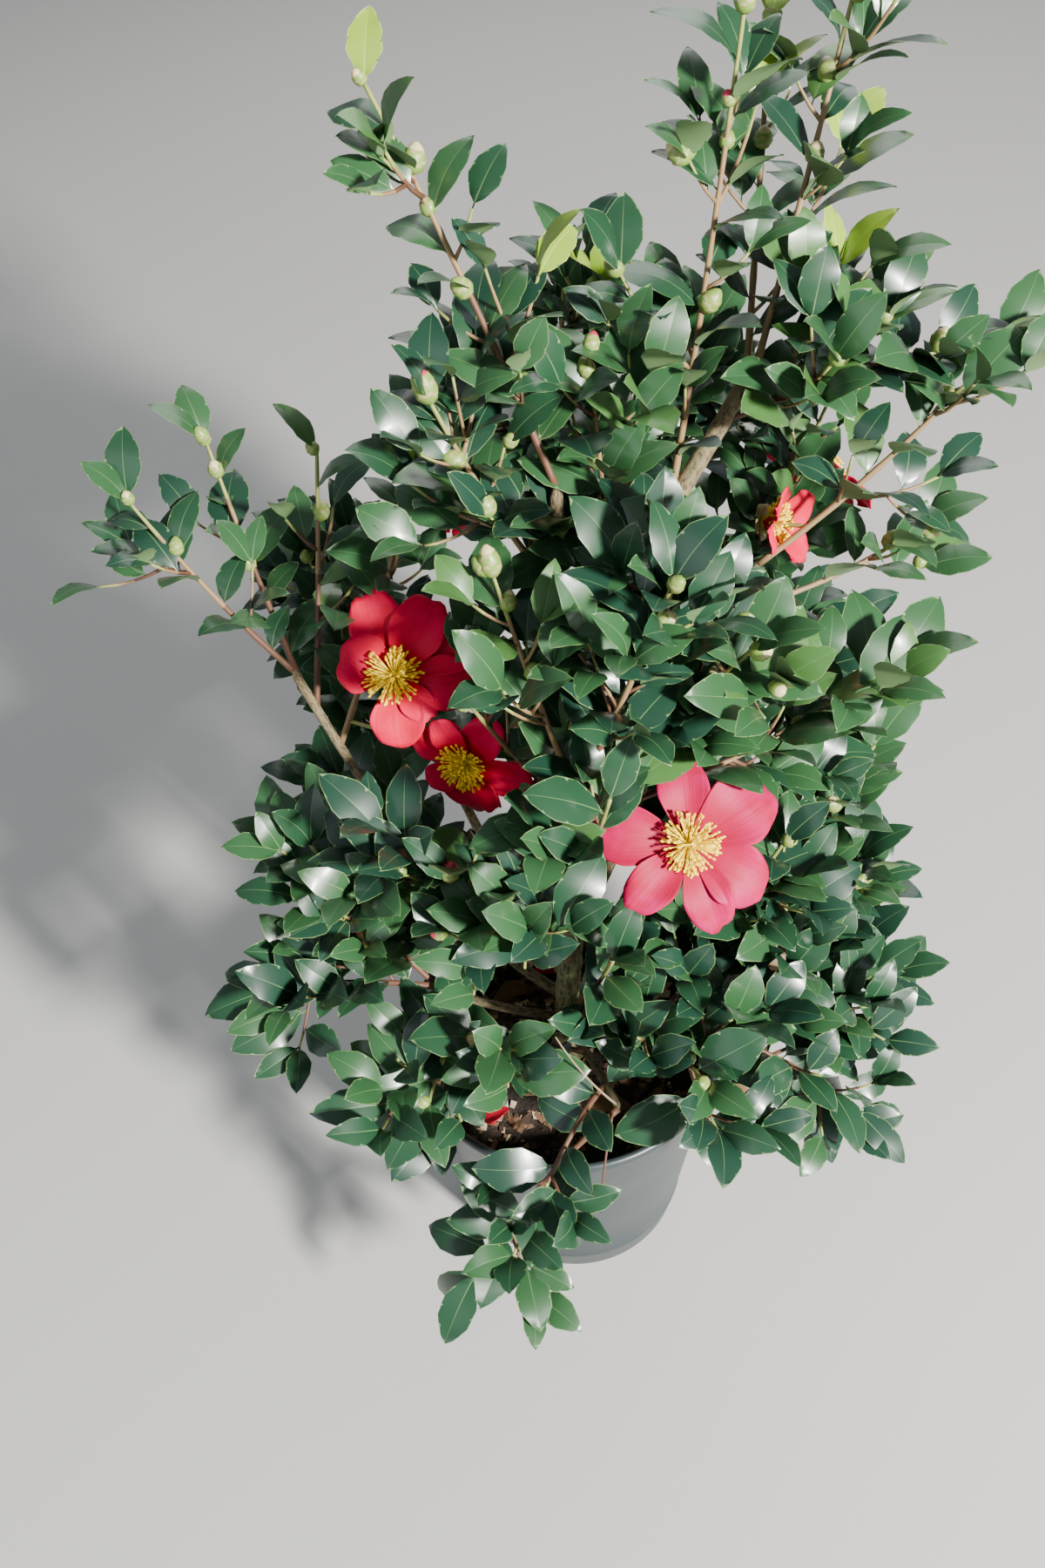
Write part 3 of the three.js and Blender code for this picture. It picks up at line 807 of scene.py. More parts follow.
MASSES = {
    "top_right": Mass("leader", 1, (143, 180, 598), 4, (2, 54), 3, 0.5),
    "top_thin": Mass("leader", 0.9, (112, 194, 572), 12, (0, 0), 1, 0.4),
    "top_centre": Mass("leader", 0.25, (92, 144, 596), 10, (2, 50), 3, 0.5),
    "top_left": Mass("left_leader", 1, (-48, 130, 585), -6, (2, 42), 4, 0.45),
    "crown_right": Mass("leader", 0.7, (150, 108, 484), 6, (3, 46), 2, 1.2),
    "crown_centre": Mass("trunk", 0.86, (28, 96, 492), 4, (3, 50), 3, 1.2),
    "crown_left": Mass("left_leader", 0.8, (-36, 84, 482), 8, (2, 46), 1, 1.1),
    "crown_front": Mass("left_leader", 0.55, (50, 44, 436), 8, (2, 42), 1, 1.5),
    "right_upper": Mass("right", 1, (198, 105, 470), 6, (2, 42), 1, 0.35),
    "right_lower": Mass("right", 0.86, (178, 104, 382), 6, (2, 44), 2, 0.8),
    "right_mid": Mass("front", 0.86, (156, 46, 354), 10, (3, 46), 3, 1.3),
    "centre": Mass("front", 1, (50, 2, 448), 4, (2, 40), 1, 1.2),
    "centre_low": Mass("front", 0.62, (22, -30, 366), 6, (3, 42), 0, 1.3),
    "centre_left": Mass("left_leader", 0.34, (-32, 22, 376), 4, (3, 40), 1, 1.8),
    "centre_right": Mass("trunk", 0.7, (84, 10, 404), 8, (3, 40), 1, 1.4),
    "front_left": Mass("front", 0.95, (-17, 32, 436), 4, (1, 38), 3, 0.9),
    "left_far": Mass("left", 1, (-176, 124, 420), 6, (1, 38), 1, 0.3),
    "left_upper": Mass("left", 0.96, (-142, 154, 428), 8, (0, 0), 3, 0.3),
    "left_inner": Mass("left", 0.9, (-90, 136, 430), 4, (1, 38), 1, 0.3),
    "left_right": Mass("left", 0.8, (-48, 106, 436), 8, (1, 40), 1, 0.25),
    "left_side": Mass("left_low", 0.9, (-112, 24, 292), 8, (3, 42), 0, 1.3),
    "left_back": Mass("left", 0.45, (-104, 92, 260), 4, (2, 44), 0, 1.2),
    "left_low": Mass("left_low", 1, (-140, 2, 212), -4, (3, 40), 0, 1.3),
    "left_front": Mass("front", 0.35, (-76, 8, 312), 6, (3, 42), 0, 1.8),
    "front_side": Mass("left_low", 0.7, (-69, -58, 193), -8, (3, 42), 1, 1.4),
    "front_droop": Mass("front_low", 1, (-56, -104, 103), -12, (3, 42), 0, 0.5),
    "front_skirt": Mass("front_low", 0.8, (-23, -108, 173), -10, (1, 34), 0, 1.1),
    "front_low": Mass("front_low", 0.45, (-46, -36, 212), -2, (2, 38), 1, 1.2),
    "front_mid": Mass("front", 0.5, (-34, -30, 290), 6, (3, 44), 0, 1.6),
    "front_core": Mass("trunk", 0.12, (22, -34, 262), 6, (2, 40), 0, 1.2),
    "front_right": Mass("right_low", 0.6, (60, -70, 208), -4, (3, 42), 1, 1.4),
    "right_low": Mass("right_low", 0.98, (162, 0, 166), -6, (3, 44), 1, 1.3),
    "right_skirt": Mass("right_low", 0.9, (142, -52, 140), -10, (2, 42), 0, 1.3),
    "right_side": Mass("right_low", 0.75, (148, 22, 249), 8, (3, 46), 0, 1.4),
    "right_front": Mass("right_low", 0.4, (104, 0, 296), 8, (3, 44), 1, 1.4),
    "right_outer": Mass("right_low", 0.55, (154, 48, 300), 10, (2, 42), 0, 1.3),
    "back_top": Mass("back", 0.96, (26, 188, 480), 6, (3, 50), 2, 1.7),
    "back_mid": Mass("back", 0.9, (-22, 216, 380), 8, (2, 48), 0, 2.2),
    "back_upper": Mass("back", 0.8, (92, 208, 424), 8, (3, 50), 2, 1.9),
    "back_left": Mass("back_left", 1, (-112, 176, 340), 8, (3, 48), 1, 2.2),
    "back_left_low": Mass("back_left", 0.8, (-92, 166, 232), 0, (3, 48), 0, 2.2),
    "back_right": Mass("back_right", 1, (152, 186, 400), 8, (2, 48), 1, 2.1),
    "back_right_low": Mass("back_right", 0.85, (148, 160, 272), 2, (3, 48), 0, 2.2),
    "back_low": Mass("back_low", 1, (26, 182, 246), 2, (3, 48), 0, 2.3),
    "back_side": Mass("back_low", 0.8, (100, 122, 192), -4, (3, 44), 0, 2.1),
}


@dataclass(frozen=True)
class Petal:
    """One petal: its turn round the heart in degrees, and its length, breadth and lift as shares."""

    turn: float
    length: float = 1.0
    breadth: float = 0.6
    lift: float = 0.1


def ring_of(count: int, lift: float = 0.12) -> tuple[Petal, ...]:
    """Petals of nearly one size, all round a flower.

    Args:
        count: How many petals.
        lift: Their lift, as a share.

    Returns:
        The petals, each second one a little turned and each third one a little short.
    """
    step = 360 / count
    return tuple(Petal(k * step + 11 * (k % 2), 1.0 - 0.06 * (k % 3), 0.64, lift) for k in range(count))


@dataclass(frozen=True)
class FlowerSpec:
    """One open flower: its mass, its stalk's foot on that stem, its heart, where it looks and its petals.

    Nothing grows within `clear` millimetres in the direction of the viewer. `tint` is its petals' finish: 0
    for the red brightened as painted light, for flowers that the crown shades, and 1 for the rose red
    darkened as painted shade.
    """

    on: str
    at: float
    to: tuple[float, float, float]
    turn: float
    rise: float
    size: float
    petals: tuple[Petal, ...]
    clear: float = 0
    tint: int = 0

    def facing(self) -> Array:
        """The direction that the flower looks in."""
        turn, rise = math.radians(self.turn), math.radians(self.rise)
        return unit(np.array([math.cos(turn), math.sin(turn), math.tan(rise)]))


UPPER_LEFT_PETALS = (
    Petal(107, 1.14, 0.66, 0.12),
    Petal(61, 1.13, 0.68, 0.16),
    Petal(23, 1.42, 0.44, 0.04),
    Petal(-8, 1.08, 0.7, 0.08),
    Petal(-50, 0.74, 0.62, 0.2),
    Petal(-86, 0.92, 0.82, 0.08),
    Petal(156, 0.76, 1.1, 0.36),
)
LOWER_LEFT_PETALS = (
    Petal(164, 1.05, 0.5, 0.18),
    Petal(118, 0.86, 0.7, 0.3),
    Petal(62, 1.0, 0.66, 0.2),
    Petal(0, 1.08, 0.62, 0.1),
    Petal(-52, 0.86, 0.6, 0.2),
    Petal(-86, 0.9, 0.9, 0.1),
    Petal(-136, 0.9, 0.6, 0.2),
)
RIGHT_PETALS = (
    Petal(90, 1.08, 0.6, 0.08),
    Petal(27, 1.18, 0.76, 0.05),
    Petal(-40, 1.08, 0.74, 0.04),
    Petal(-77, 1.1, 0.58, 0.02),
    Petal(-139, 1.06, 0.56, 0.16),
    Petal(166, 1.2, 0.62, 0.05),
)
FLOWERS = (
    FlowerSpec("left_right", 0.3, (-65, 70, 350), -96, 42, 68, UPPER_LEFT_PETALS, 200),
    FlowerSpec("left_right", 0.1, (-35, 45, 318), -120, 12, 60, LOWER_LEFT_PETALS, 200),
    FlowerSpec("right_mid", 0.25, (56, -18, 320), -88, 50, 70, RIGHT_PETALS, 200, 1),
    FlowerSpec("right_upper", 0.2, (106, 106, 391), -35, 14, 50, ring_of(4, 0.62)),
    FlowerSpec("back_mid", 0.6, (-14, 208, 330), 100, 30, 66, ring_of(6)),
    FlowerSpec("back_right", 0.6, (150, 190, 350), 40, 25, 64, ring_of(6)),
)


@dataclass
class Skeleton:
    """The middle lines of the trunk, the boughs and the stems of the masses."""

    limbs: dict[str, Line] = field(default_factory=dict)
    stems: dict[str, Line] = field(default_factory=dict)

    def __post_init__(self) -> None:
        """Grows the trunk, then each bough and stem from its parent."""
        foot = np.array(TRUNK_FOOT, float)
        knee = np.array([foot[0], foot[1], TRUNK_BEND_HEIGHT])
        self.limbs["trunk"] = Line(foot, knee, np.array(TRUNK_TOP, float))
        for name, bough in BOUGHS.items():
            self.limbs[name] = Line.bowed(self.limbs[bough.parent].point(bough.at), bough.to, bough.bow)
        for name, mass in MASSES.items():
            self.stems[name] = Line.bowed(self.limbs[mass.parent].point(mass.at), mass.to, mass.bow)


# Sub-assemblies


@dataclass
class Pot:
    """A tapered nursery pot with a rolled rim, a shallow band under it and one above its foot.

    `foot_steps` gives distances from the foot's outer radius and heights. `wall_steps` and `neck_steps`
    give heights on the wall, from the foot and from the neck, and how far the skin stands out there.
    """

    height: float = 160
    rim_radius: float = 82.5
    foot_radius: float = 60
    wall: float = 2
    floor: float = 3
    roll: float = 4.6
    neck_drop: float = 10
    facets: int = 128
    drains: int = 5
    drain_radius: float = 5
    drain_circle: float = 42
    drain_facets: int = 20
    drain_below: float = 2.0
    drain_above: float = 0.2
    core: float = 1.0
    foot_steps: tuple[tuple[float, float], ...] = ((-6.0, 0.0), (-2.0, 0.0), (-0.6, 0.5), (0.0, 2.0))
    wall_steps: tuple[tuple[float, float], ...] = (
        (14, 0), (15, 0.4), (19, 0.4), (20, 0), (60, 0), (100, 0),
    )
    neck_steps: tuple[tuple[float, float], ...] = ((-14, 0), (-13, 0.5), (0, 0.5))
    rim_swell: float = 0.8
    inner_ring: float = 90
    sharp: float = 40

    def wall_radius(self, height: float) -> float:
        """The outer radius of the wall at a height."""
        share = height / self.height
        return self.foot_radius + (self.rim_radius - self.roll / 2 - self.foot_radius) * share

    def profile(self) -> Array:
        """Draws the pot's skin, from the middle of its underside round to its floor.

        Returns:
            Radius and height of each point.
        """
        neck = self.height - self.neck_drop
        steps = [*self.wall_steps, *((neck + drop, proud) for drop, proud in self.neck_steps)]
        outer = [
            (self.core, 0.0),
            *((self.foot_radius + inset, height) for inset, height in self.foot_steps),
            *((self.wall_radius(height) + proud, height) for height, proud in steps),
            (self.wall_radius(neck) + 1.6, neck + 1.5),
        ]
        turns = np.linspace(-0.42 * math.pi, 1.25 * math.pi, 15)
        half = self.roll / 2
        tall = half + self.rim_swell
        roll = np.stack(
            [self.rim_radius - half + half * np.cos(turns), self.height - tall + tall * np.sin(turns)], axis=1
        )
        inner_heights = (neck, self.inner_ring, self.floor)
        inner = [
            *((self.wall_radius(height) - self.wall, height) for height in inner_heights),
            (self.core, self.floor),
        ]
        return np.concatenate([np.array(outer), roll, np.array(inner)])

    def build(self) -> None:
        """Makes the pot as one turned skin, with its drain holes cut through the floor."""
        pile = Pile()
        add_turned(pile, self.profile(), self.facets)
        piece = pile.write("pot_shell", [PotFinish()], "pot", ["pot"])
        self.cut_drains(piece)
        piece.data.set_sharp_from_angle(angle=math.radians(self.sharp))

    def cut_drains(self, shell: bpy.types.Object) -> None:
        """Takes upright cylinders, evenly spaced on a circle, out of the floor.

        Args:
            shell: The pot.
        """
        drains = Pile()
        rise = self.drain_below + self.floor + self.drain_above
        for k in range(self.drains):
            turn = 2 * math.pi * (k + 0.5) / self.drains
            right, back = self.drain_circle * math.cos(turn), self.drain_circle * math.sin(turn)
            foot = np.array([right, back, -self.drain_below])
            line = Line.bowed(foot, foot + rise * UP, 0)
            add_tube(drains, line, lambda along: self.drain_radius + 0 * along, self.drain_facets, 1, 0)
        cutter = bpy.data.objects.new("drain_cutter", drains.mesh("drain_cutter"))
        bpy.context.scene.collection.objects.link(cutter)
        holes = shell.modifiers.new("drains", "BOOLEAN")
        holes.operation = "DIFFERENCE"
        holes.object = cutter
        shaped = shell.evaluated_get(bpy.context.evaluated_depsgraph_get())
        mesh = bpy.data.meshes.new_from_object(shaped)
        shell.modifiers.clear()
        shell.data = mesh
        bpy.data.objects.remove(cutter)


@dataclass
class Soil:
    """Potting mix with crumbs of bark, domed a little round the trunk."""

    pot: Pot
    level: float = 128
    fall: float = 5
    flat_radius: float = 22
    wall_gap: float = 0.3
    floor_gap: float = 0.4
    core: float = 0.4
    rings: int = 60
    facets: int = 150
    chips: int = 760
    pale_chips: int = 90
    chip_reach: float = 72
    chip_least: tuple[float, float, float] = (0.8, 0.6, 0.3)
    chip_most: tuple[float, float, float] = (3.6, 2.2, 1.1)
    chip_scales: tuple[float, ...] = (0.6, 1.0, 1.5)
    chip_tilt: float = 0.35
    chip_lift: float = 0.4
    chip_sharp: float = 30
    seed: int = 11

    def height(self, radius: Array) -> Array:
        """The soil's mean height at a distance from the pot's axis."""
        edge = self.pot.wall_radius(self.level) - self.pot.wall
        return self.level - self.fall * np.clip((radius - self.flat_radius) / (edge - self.flat_radius), 0, 1)

    def lumps(self, radius: Array, around: Array) -> Array:
        """Soft heaps a few millimetres high, as sums of waves over the level plane.

        Args:
            radius: Distance from the pot's axis.
            around: Angle about it.

        Returns:
            The added height: 0.9 (sin a cos b + 0.6 sin c + 0.4 cos d), and nothing on the axis.
        """
        x, y = radius * np.cos(around), radius * np.sin(around)
        heaps = np.sin(x / 9 + 1.3) * np.cos(y / 7)
        crumbs = 0.6 * np.sin(x / 3.7 + y / 5.1) + 0.4 * np.cos(x / 2.3 - y / 2.9)
        return 0.9 * (heaps + crumbs) * (radius > 0.5)

    def build(self) -> None:
        """Makes the mix's body and surface, and the loose chips on it."""
        edge = self.pot.wall_radius(self.level - self.fall) - self.pot.wall - self.wall_gap
        foot = self.pot.floor + self.floor_gap
        foot_edge = self.pot.wall_radius(foot) - self.pot.wall - self.floor_gap
        radii = np.linspace(edge, self.core, self.rings)
        profile = np.concatenate([
            np.array([(self.core, foot), (foot_edge, foot)]),
            np.stack([radii, self.height(radii)], axis=1),
        ])
        pile = Pile()

        def relief(radius: Array, around: Array) -> Array:
            """Heaps on the upper side alone."""
            upper = (np.arange(len(profile)) >= 2)[:, None]
            return self.lumps(radius, around) * upper

        add_turned(pile, profile, self.facets, relief)
        pile.write("potting_soil", [SoilFinish()], "soil", ["soil"])
        self.build_chips()

    def build_chips(self) -> None:
        """Makes bark chips: eight-cornered scraps, each squeezed, turned and laid on the heaps."""
        rng = np.random.default_rng(self.seed)
        count = self.chips
        corners = np.array([(x, y, z) for x in (-1, 1) for y in (-1, 1) for z in (-1, 1)], float)
        faces = np.array([(0, 1, 3, 2), (4, 6, 7, 5), (0, 4, 5, 1), (2, 3, 7, 6), (0, 2, 6, 4), (1, 5, 7, 3)])
        radius = self.chip_reach * np.sqrt(rng.random(count))
        around = rng.random(count) * 2 * math.pi
        size = rng.uniform(self.chip_least, self.chip_most, (count, 3))
        size *= rng.choice(self.chip_scales, (count, 1))
        points = corners[None] * size[:, None, :] * rng.uniform(0.6, 1.15, (count, 8, 3))
        turn, tip = rng.random(count) * 2 * math.pi, rng.normal(0, self.chip_tilt, count)
        along = np.stack([np.cos(turn) * np.cos(tip), np.sin(turn) * np.cos(tip), np.sin(tip)], axis=1)
        frame = np.stack([along, *square_to(along)], axis=1)
        laid = self.height(radius) + self.lumps(radius, around) + self.chip_lift
        centre = np.stack([radius * np.cos(around), radius * np.sin(around), laid], axis=1)
        points = np.einsum("nkc,ncd->nkd", points, frame) + centre[:, None]
        all_faces = (faces[None] + 8 * np.arange(count)[:, None, None]).reshape(-1, 4)
        tone = np.where(np.arange(count) < self.pale_chips, 2, rng.integers(0, 2, count))
        pile = Pile()
        pile.add(points, [all_faces], [np.repeat(tone, 6)])
        finishes = [
            PlainFinish("chip_dark", (0.04, 0.022, 0.013), 0.85),
            PlainFinish("chip_brown", (0.16, 0.085, 0.045), 0.85),
            PlainFinish("chip_pale", (0.5, 0.37, 0.24), 0.8),
        ]
        pile.write("bark_chips", finishes, "soil", sharp=self.chip_sharp)


@dataclass
class Limbs:
    """The trunk and the boughs, with fissured bark."""

    skeleton: Skeleton
    flare: float = 7
    flare_height: float = 9
    fissure: float = 0.62
    sides: int = 56
    bough_sides: int = 26
    band: float = 1.3
    bough_band: float = 1.82
    tip_share: float = 0.5
    tip_slope: float = 30

    @staticmethod
    def bark(seed: float, depth: float) -> Callable[[Array, Array], Array]:
        """Chooses the relief of long ridges that wander round a limb and split it into plates.

        The height is depth * (|sin(3.5 u + a)|^0.55 |sin(1.5 u - b)|^0.35 - 0.65), where a and b are waves
        along the limb, with lumps of longer waves and a fine grain.

        Args:
            seed: A number of the limb's own that shifts the waves.
            depth: The relief's depth in millimetres.

        Returns:
            The height from the angle round the limb and the distance along it.
        """

        def relief(around: Array, along: Array) -> Array:
            """Works out the height of the bark.

            Args:
                around: Angles round the limb.
                along: Distances along it.

            Returns:
                The height at each.
            """
            first = 1.3 * np.sin(along / 12 + seed) + 0.7 * np.sin(along / 4.7 + 2 * seed)
            second = 1.1 * np.sin(along / 8 + 3 * seed) + 0.5 * np.sin(along / 3.1 + seed)
            ridges = np.abs(np.sin(3.5 * around + first)) ** 0.55
            plates = np.abs(np.sin(1.5 * around - second)) ** 0.35
            lumps = ripple(around, along, [(1, 31, seed), (2, 17, 2 * seed), (3, -9, 3 * seed)])
            grain = ripple(around, along, [(9, 5.3, seed), (13, -3.9, 2 * seed), (6, 2.9, 3 * seed)])
            return depth * (ridges * plates - 0.65) + 0.5 * depth * lumps + 0.16 * depth * grain

        return relief

    def trunk_radius(self, along: Array) -> Array:
        """Taper with a flare at the foot that dies away with height.

        Args:
            along: Fractions of the trunk's length.

        Returns:
            The radius at each.
        """
        length = self.skeleton.limbs["trunk"].length
        taper = TRUNK_THICK + (TRUNK_THIN - TRUNK_THICK) * along
        return (taper + self.flare * np.exp(-along * length / self.flare_height)) / 2

    def bough_radius(self, bough: Bough) -> Callable[[Array], Array]:
        """Chooses the even taper of one bough, drawn in to `tip_share` at its tip.

        Args:
            bough: The bough.

        Returns:
            The radius from the fraction of its length.
        """

        def radius(along: Array) -> Array:
            """Taper with a rounded tip."""
            rounding = np.minimum(1, self.tip_share + self.tip_slope * (1 - along))
            return (bough.thick + (bough.thin - bough.thick) * along) / 2 * rounding

        return radius

    def build(self) -> None:
        """Makes the trunk's piece and the piece of all the boughs."""
        trunk = self.skeleton.limbs["trunk"]
        rings = round(trunk.length / self.band)
        pile = Pile()
        add_tube(pile, trunk, self.trunk_radius, self.sides, rings, 0, self.bark(0.7, self.fissure))
        old = BarkFinish("trunk_bark", (0.3, 0.27, 0.13), (0.045, 0.036, 0.02), (0.19, 0.225, 0.09))
        pile.write("trunk_bark", [old], "bark", ["trunk"])

        pile = Pile()
        for number, (name, bough) in enumerate(BOUGHS.items()):
            line = self.skeleton.limbs[name]
            rings = round(line.length / self.bough_band)
            relief = self.bark(1.9 + number, self.fissure * 0.5 * bough.thick / TRUNK_THIN)
            add_tube(pile, line, self.bough_radius(bough), self.bough_sides, rings, 0, relief)
        young = BarkFinish(
            "bough_bark", (0.23, 0.175, 0.09), (0.06, 0.042, 0.024), (0.17, 0.17, 0.08), 1.6, 0.2
        )
        pile.write("boughs_bark", [young], "bark", [f"bough_{name}" for name in BOUGHS])


@dataclass(frozen=True)
class Shoot:
    """One leafy line: the stem of a mass, a side twig or a finer twig."""

    line: Line
    mass: int
    twig: int
    bare: float
    thick: float
    thin: float
    order: int


@dataclass
class LeafSite:
    """Where one leaf stands."""

    root: Array
    along: Array
    face: Array
    length: float
    breadth: float
    tone: Leaf
    draws: Array


@dataclass(frozen=True)
class Opening:
    """A gap in the crown: from a place toward the viewer nothing grows, as far as `reach`."""

    place: tuple[float, float, float]
    radius: float
    reach: float = 300


OPENINGS = (
    Opening((0, 46, 128), 17),
    Opening((-30, 42, 128), 13),
    Opening((-30, -46, 134), 17, 130),
    Opening((-8, -52, 134), 11, 130),
    Opening((50, -30, 142), 13, 130),
    Opening((8, -68, 86), 24, 90),
    Opening((38, -60, 90), 26, 90),
)


@dataclass
class Clearings:
    """The places that leaves stay out of: the pot, the limbs, the open flowers and the gaps in the crown.

    Before a flower nothing grows within `petal_room` over `petal_share` of its size, and toward the viewer
    over `sight_share` of it. Inside the pot something may grow `rim_room` from the wall and above
    `litter_height`, and outside it from `pot_room` on.
    """

    pot: Pot
    skeleton: Skeleton
    viewer: tuple[float, float, float] = (-12, -396, 779)
    petal_room: float = 26
    petal_share: float = 0.5
    sight_share: float = 0.42
    bark_room: float = 2.2
    pot_room: float = 3
    rim_room: float = 9
    litter_height: float = 133
    behind: float = 3
    far: float = 1e6
    step: float = 5

    def __post_init__(self) -> None:
        """Gathers points along the limbs, with the room that each asks for."""
        points, rooms = [], []
        for name, line in self.skeleton.limbs.items():
            thick = TRUNK_THICK if name == "trunk" else BOUGHS[name].thick
            along = np.linspace(0, 1, max(2, round(line.length / self.step)))
            points.append(line.point(along))
            rooms.append(np.full(len(along), thick / 2 + self.bark_room))
        self._limb_points, self._limb_rooms = np.concatenate(points), np.concatenate(rooms)

    def _inside(
        self, probes: Array, place: Array, heading: Array, reach: float, radius: float, narrows: float
    ) -> bool:
        """Whether any probe lies in a round column.

        Args:
            probes: Points, (n, 3).
            place: The middle of the column's foot.
            heading: Where it points.
            reach: How long it is.
            radius: Its radius at its foot.
            narrows: At what distance the radius would shrink to nothing.

        Returns:
            True where one of them is inside.
        """
        ahead = (probes - place) @ heading
        aside = np.linalg.norm(probes - place - ahead[:, None] * heading, axis=1)
        within = (ahead > -self.behind) & (ahead < reach) & (aside < radius * (1 - ahead / narrows))
        return bool(np.any(within))

    def _toward_viewer(self, probes: Array, place: Array, reach: float, radius: float) -> bool:
        """Whether any probe lies in the cone from a place to the viewer's eye.

        Args:
            probes: Points, (n, 3).
            place: The middle of the cone's foot.
            reach: How far from it the cone counts.
            radius: Its radius at its foot.

        Returns:
            True where one of them is inside.
        """
        sight = np.array(self.viewer) - place
        distance = float(np.linalg.norm(sight))
        return self._inside(probes, place, sight / distance, reach, radius, distance)

    def off_pot(self, probes: Array) -> bool:
        """Whether every probe is above the soil inside the pot, or clear of its wall outside.

        Args:
            probes: Points, (n, 3).

        Returns:
            False where one of them would touch the pot or the soil.
        """
        pot = self.pot
        radius, height = np.hypot(probes[:, 0], probes[:, 1]), probes[:, 2]
        share = np.clip(height, 0, pot.height) / pot.height
        wall = pot.foot_radius + (pot.rim_radius - pot.foot_radius) * share
        near = (height < pot.height + self.pot_room) & (radius < wall + self.pot_room)
        return not bool(np.any(near & ((radius > wall - self.rim_room) | (height < self.litter_height))))

    def allow(self, probes: Array) -> bool:
        """Whether something may grow through these points.

        Args:
            probes: Points along it, (n, 3).

        Returns:
            False where one of them would touch the pot, a limb or a flower, or close a gap.
        """
        if not self.off_pot(probes):
            return False
        gaps = np.linalg.norm(probes[:, None] - self._limb_points[None], axis=2)
        if np.any(gaps < self._limb_rooms):
            return False
        for flower in FLOWERS:
            heart = np.array(flower.to, float)
            room, sight = self.petal_share * flower.size, self.sight_share * flower.size
            if self._inside(probes, heart, flower.facing(), self.petal_room, room, self.far):
                return False
            if flower.clear and self._toward_viewer(probes, heart, flower.clear, sight):
                return False
        return not any(
            self._toward_viewer(probes, np.array(opening.place, float), opening.reach, opening.radius)
            for opening in OPENINGS
        )


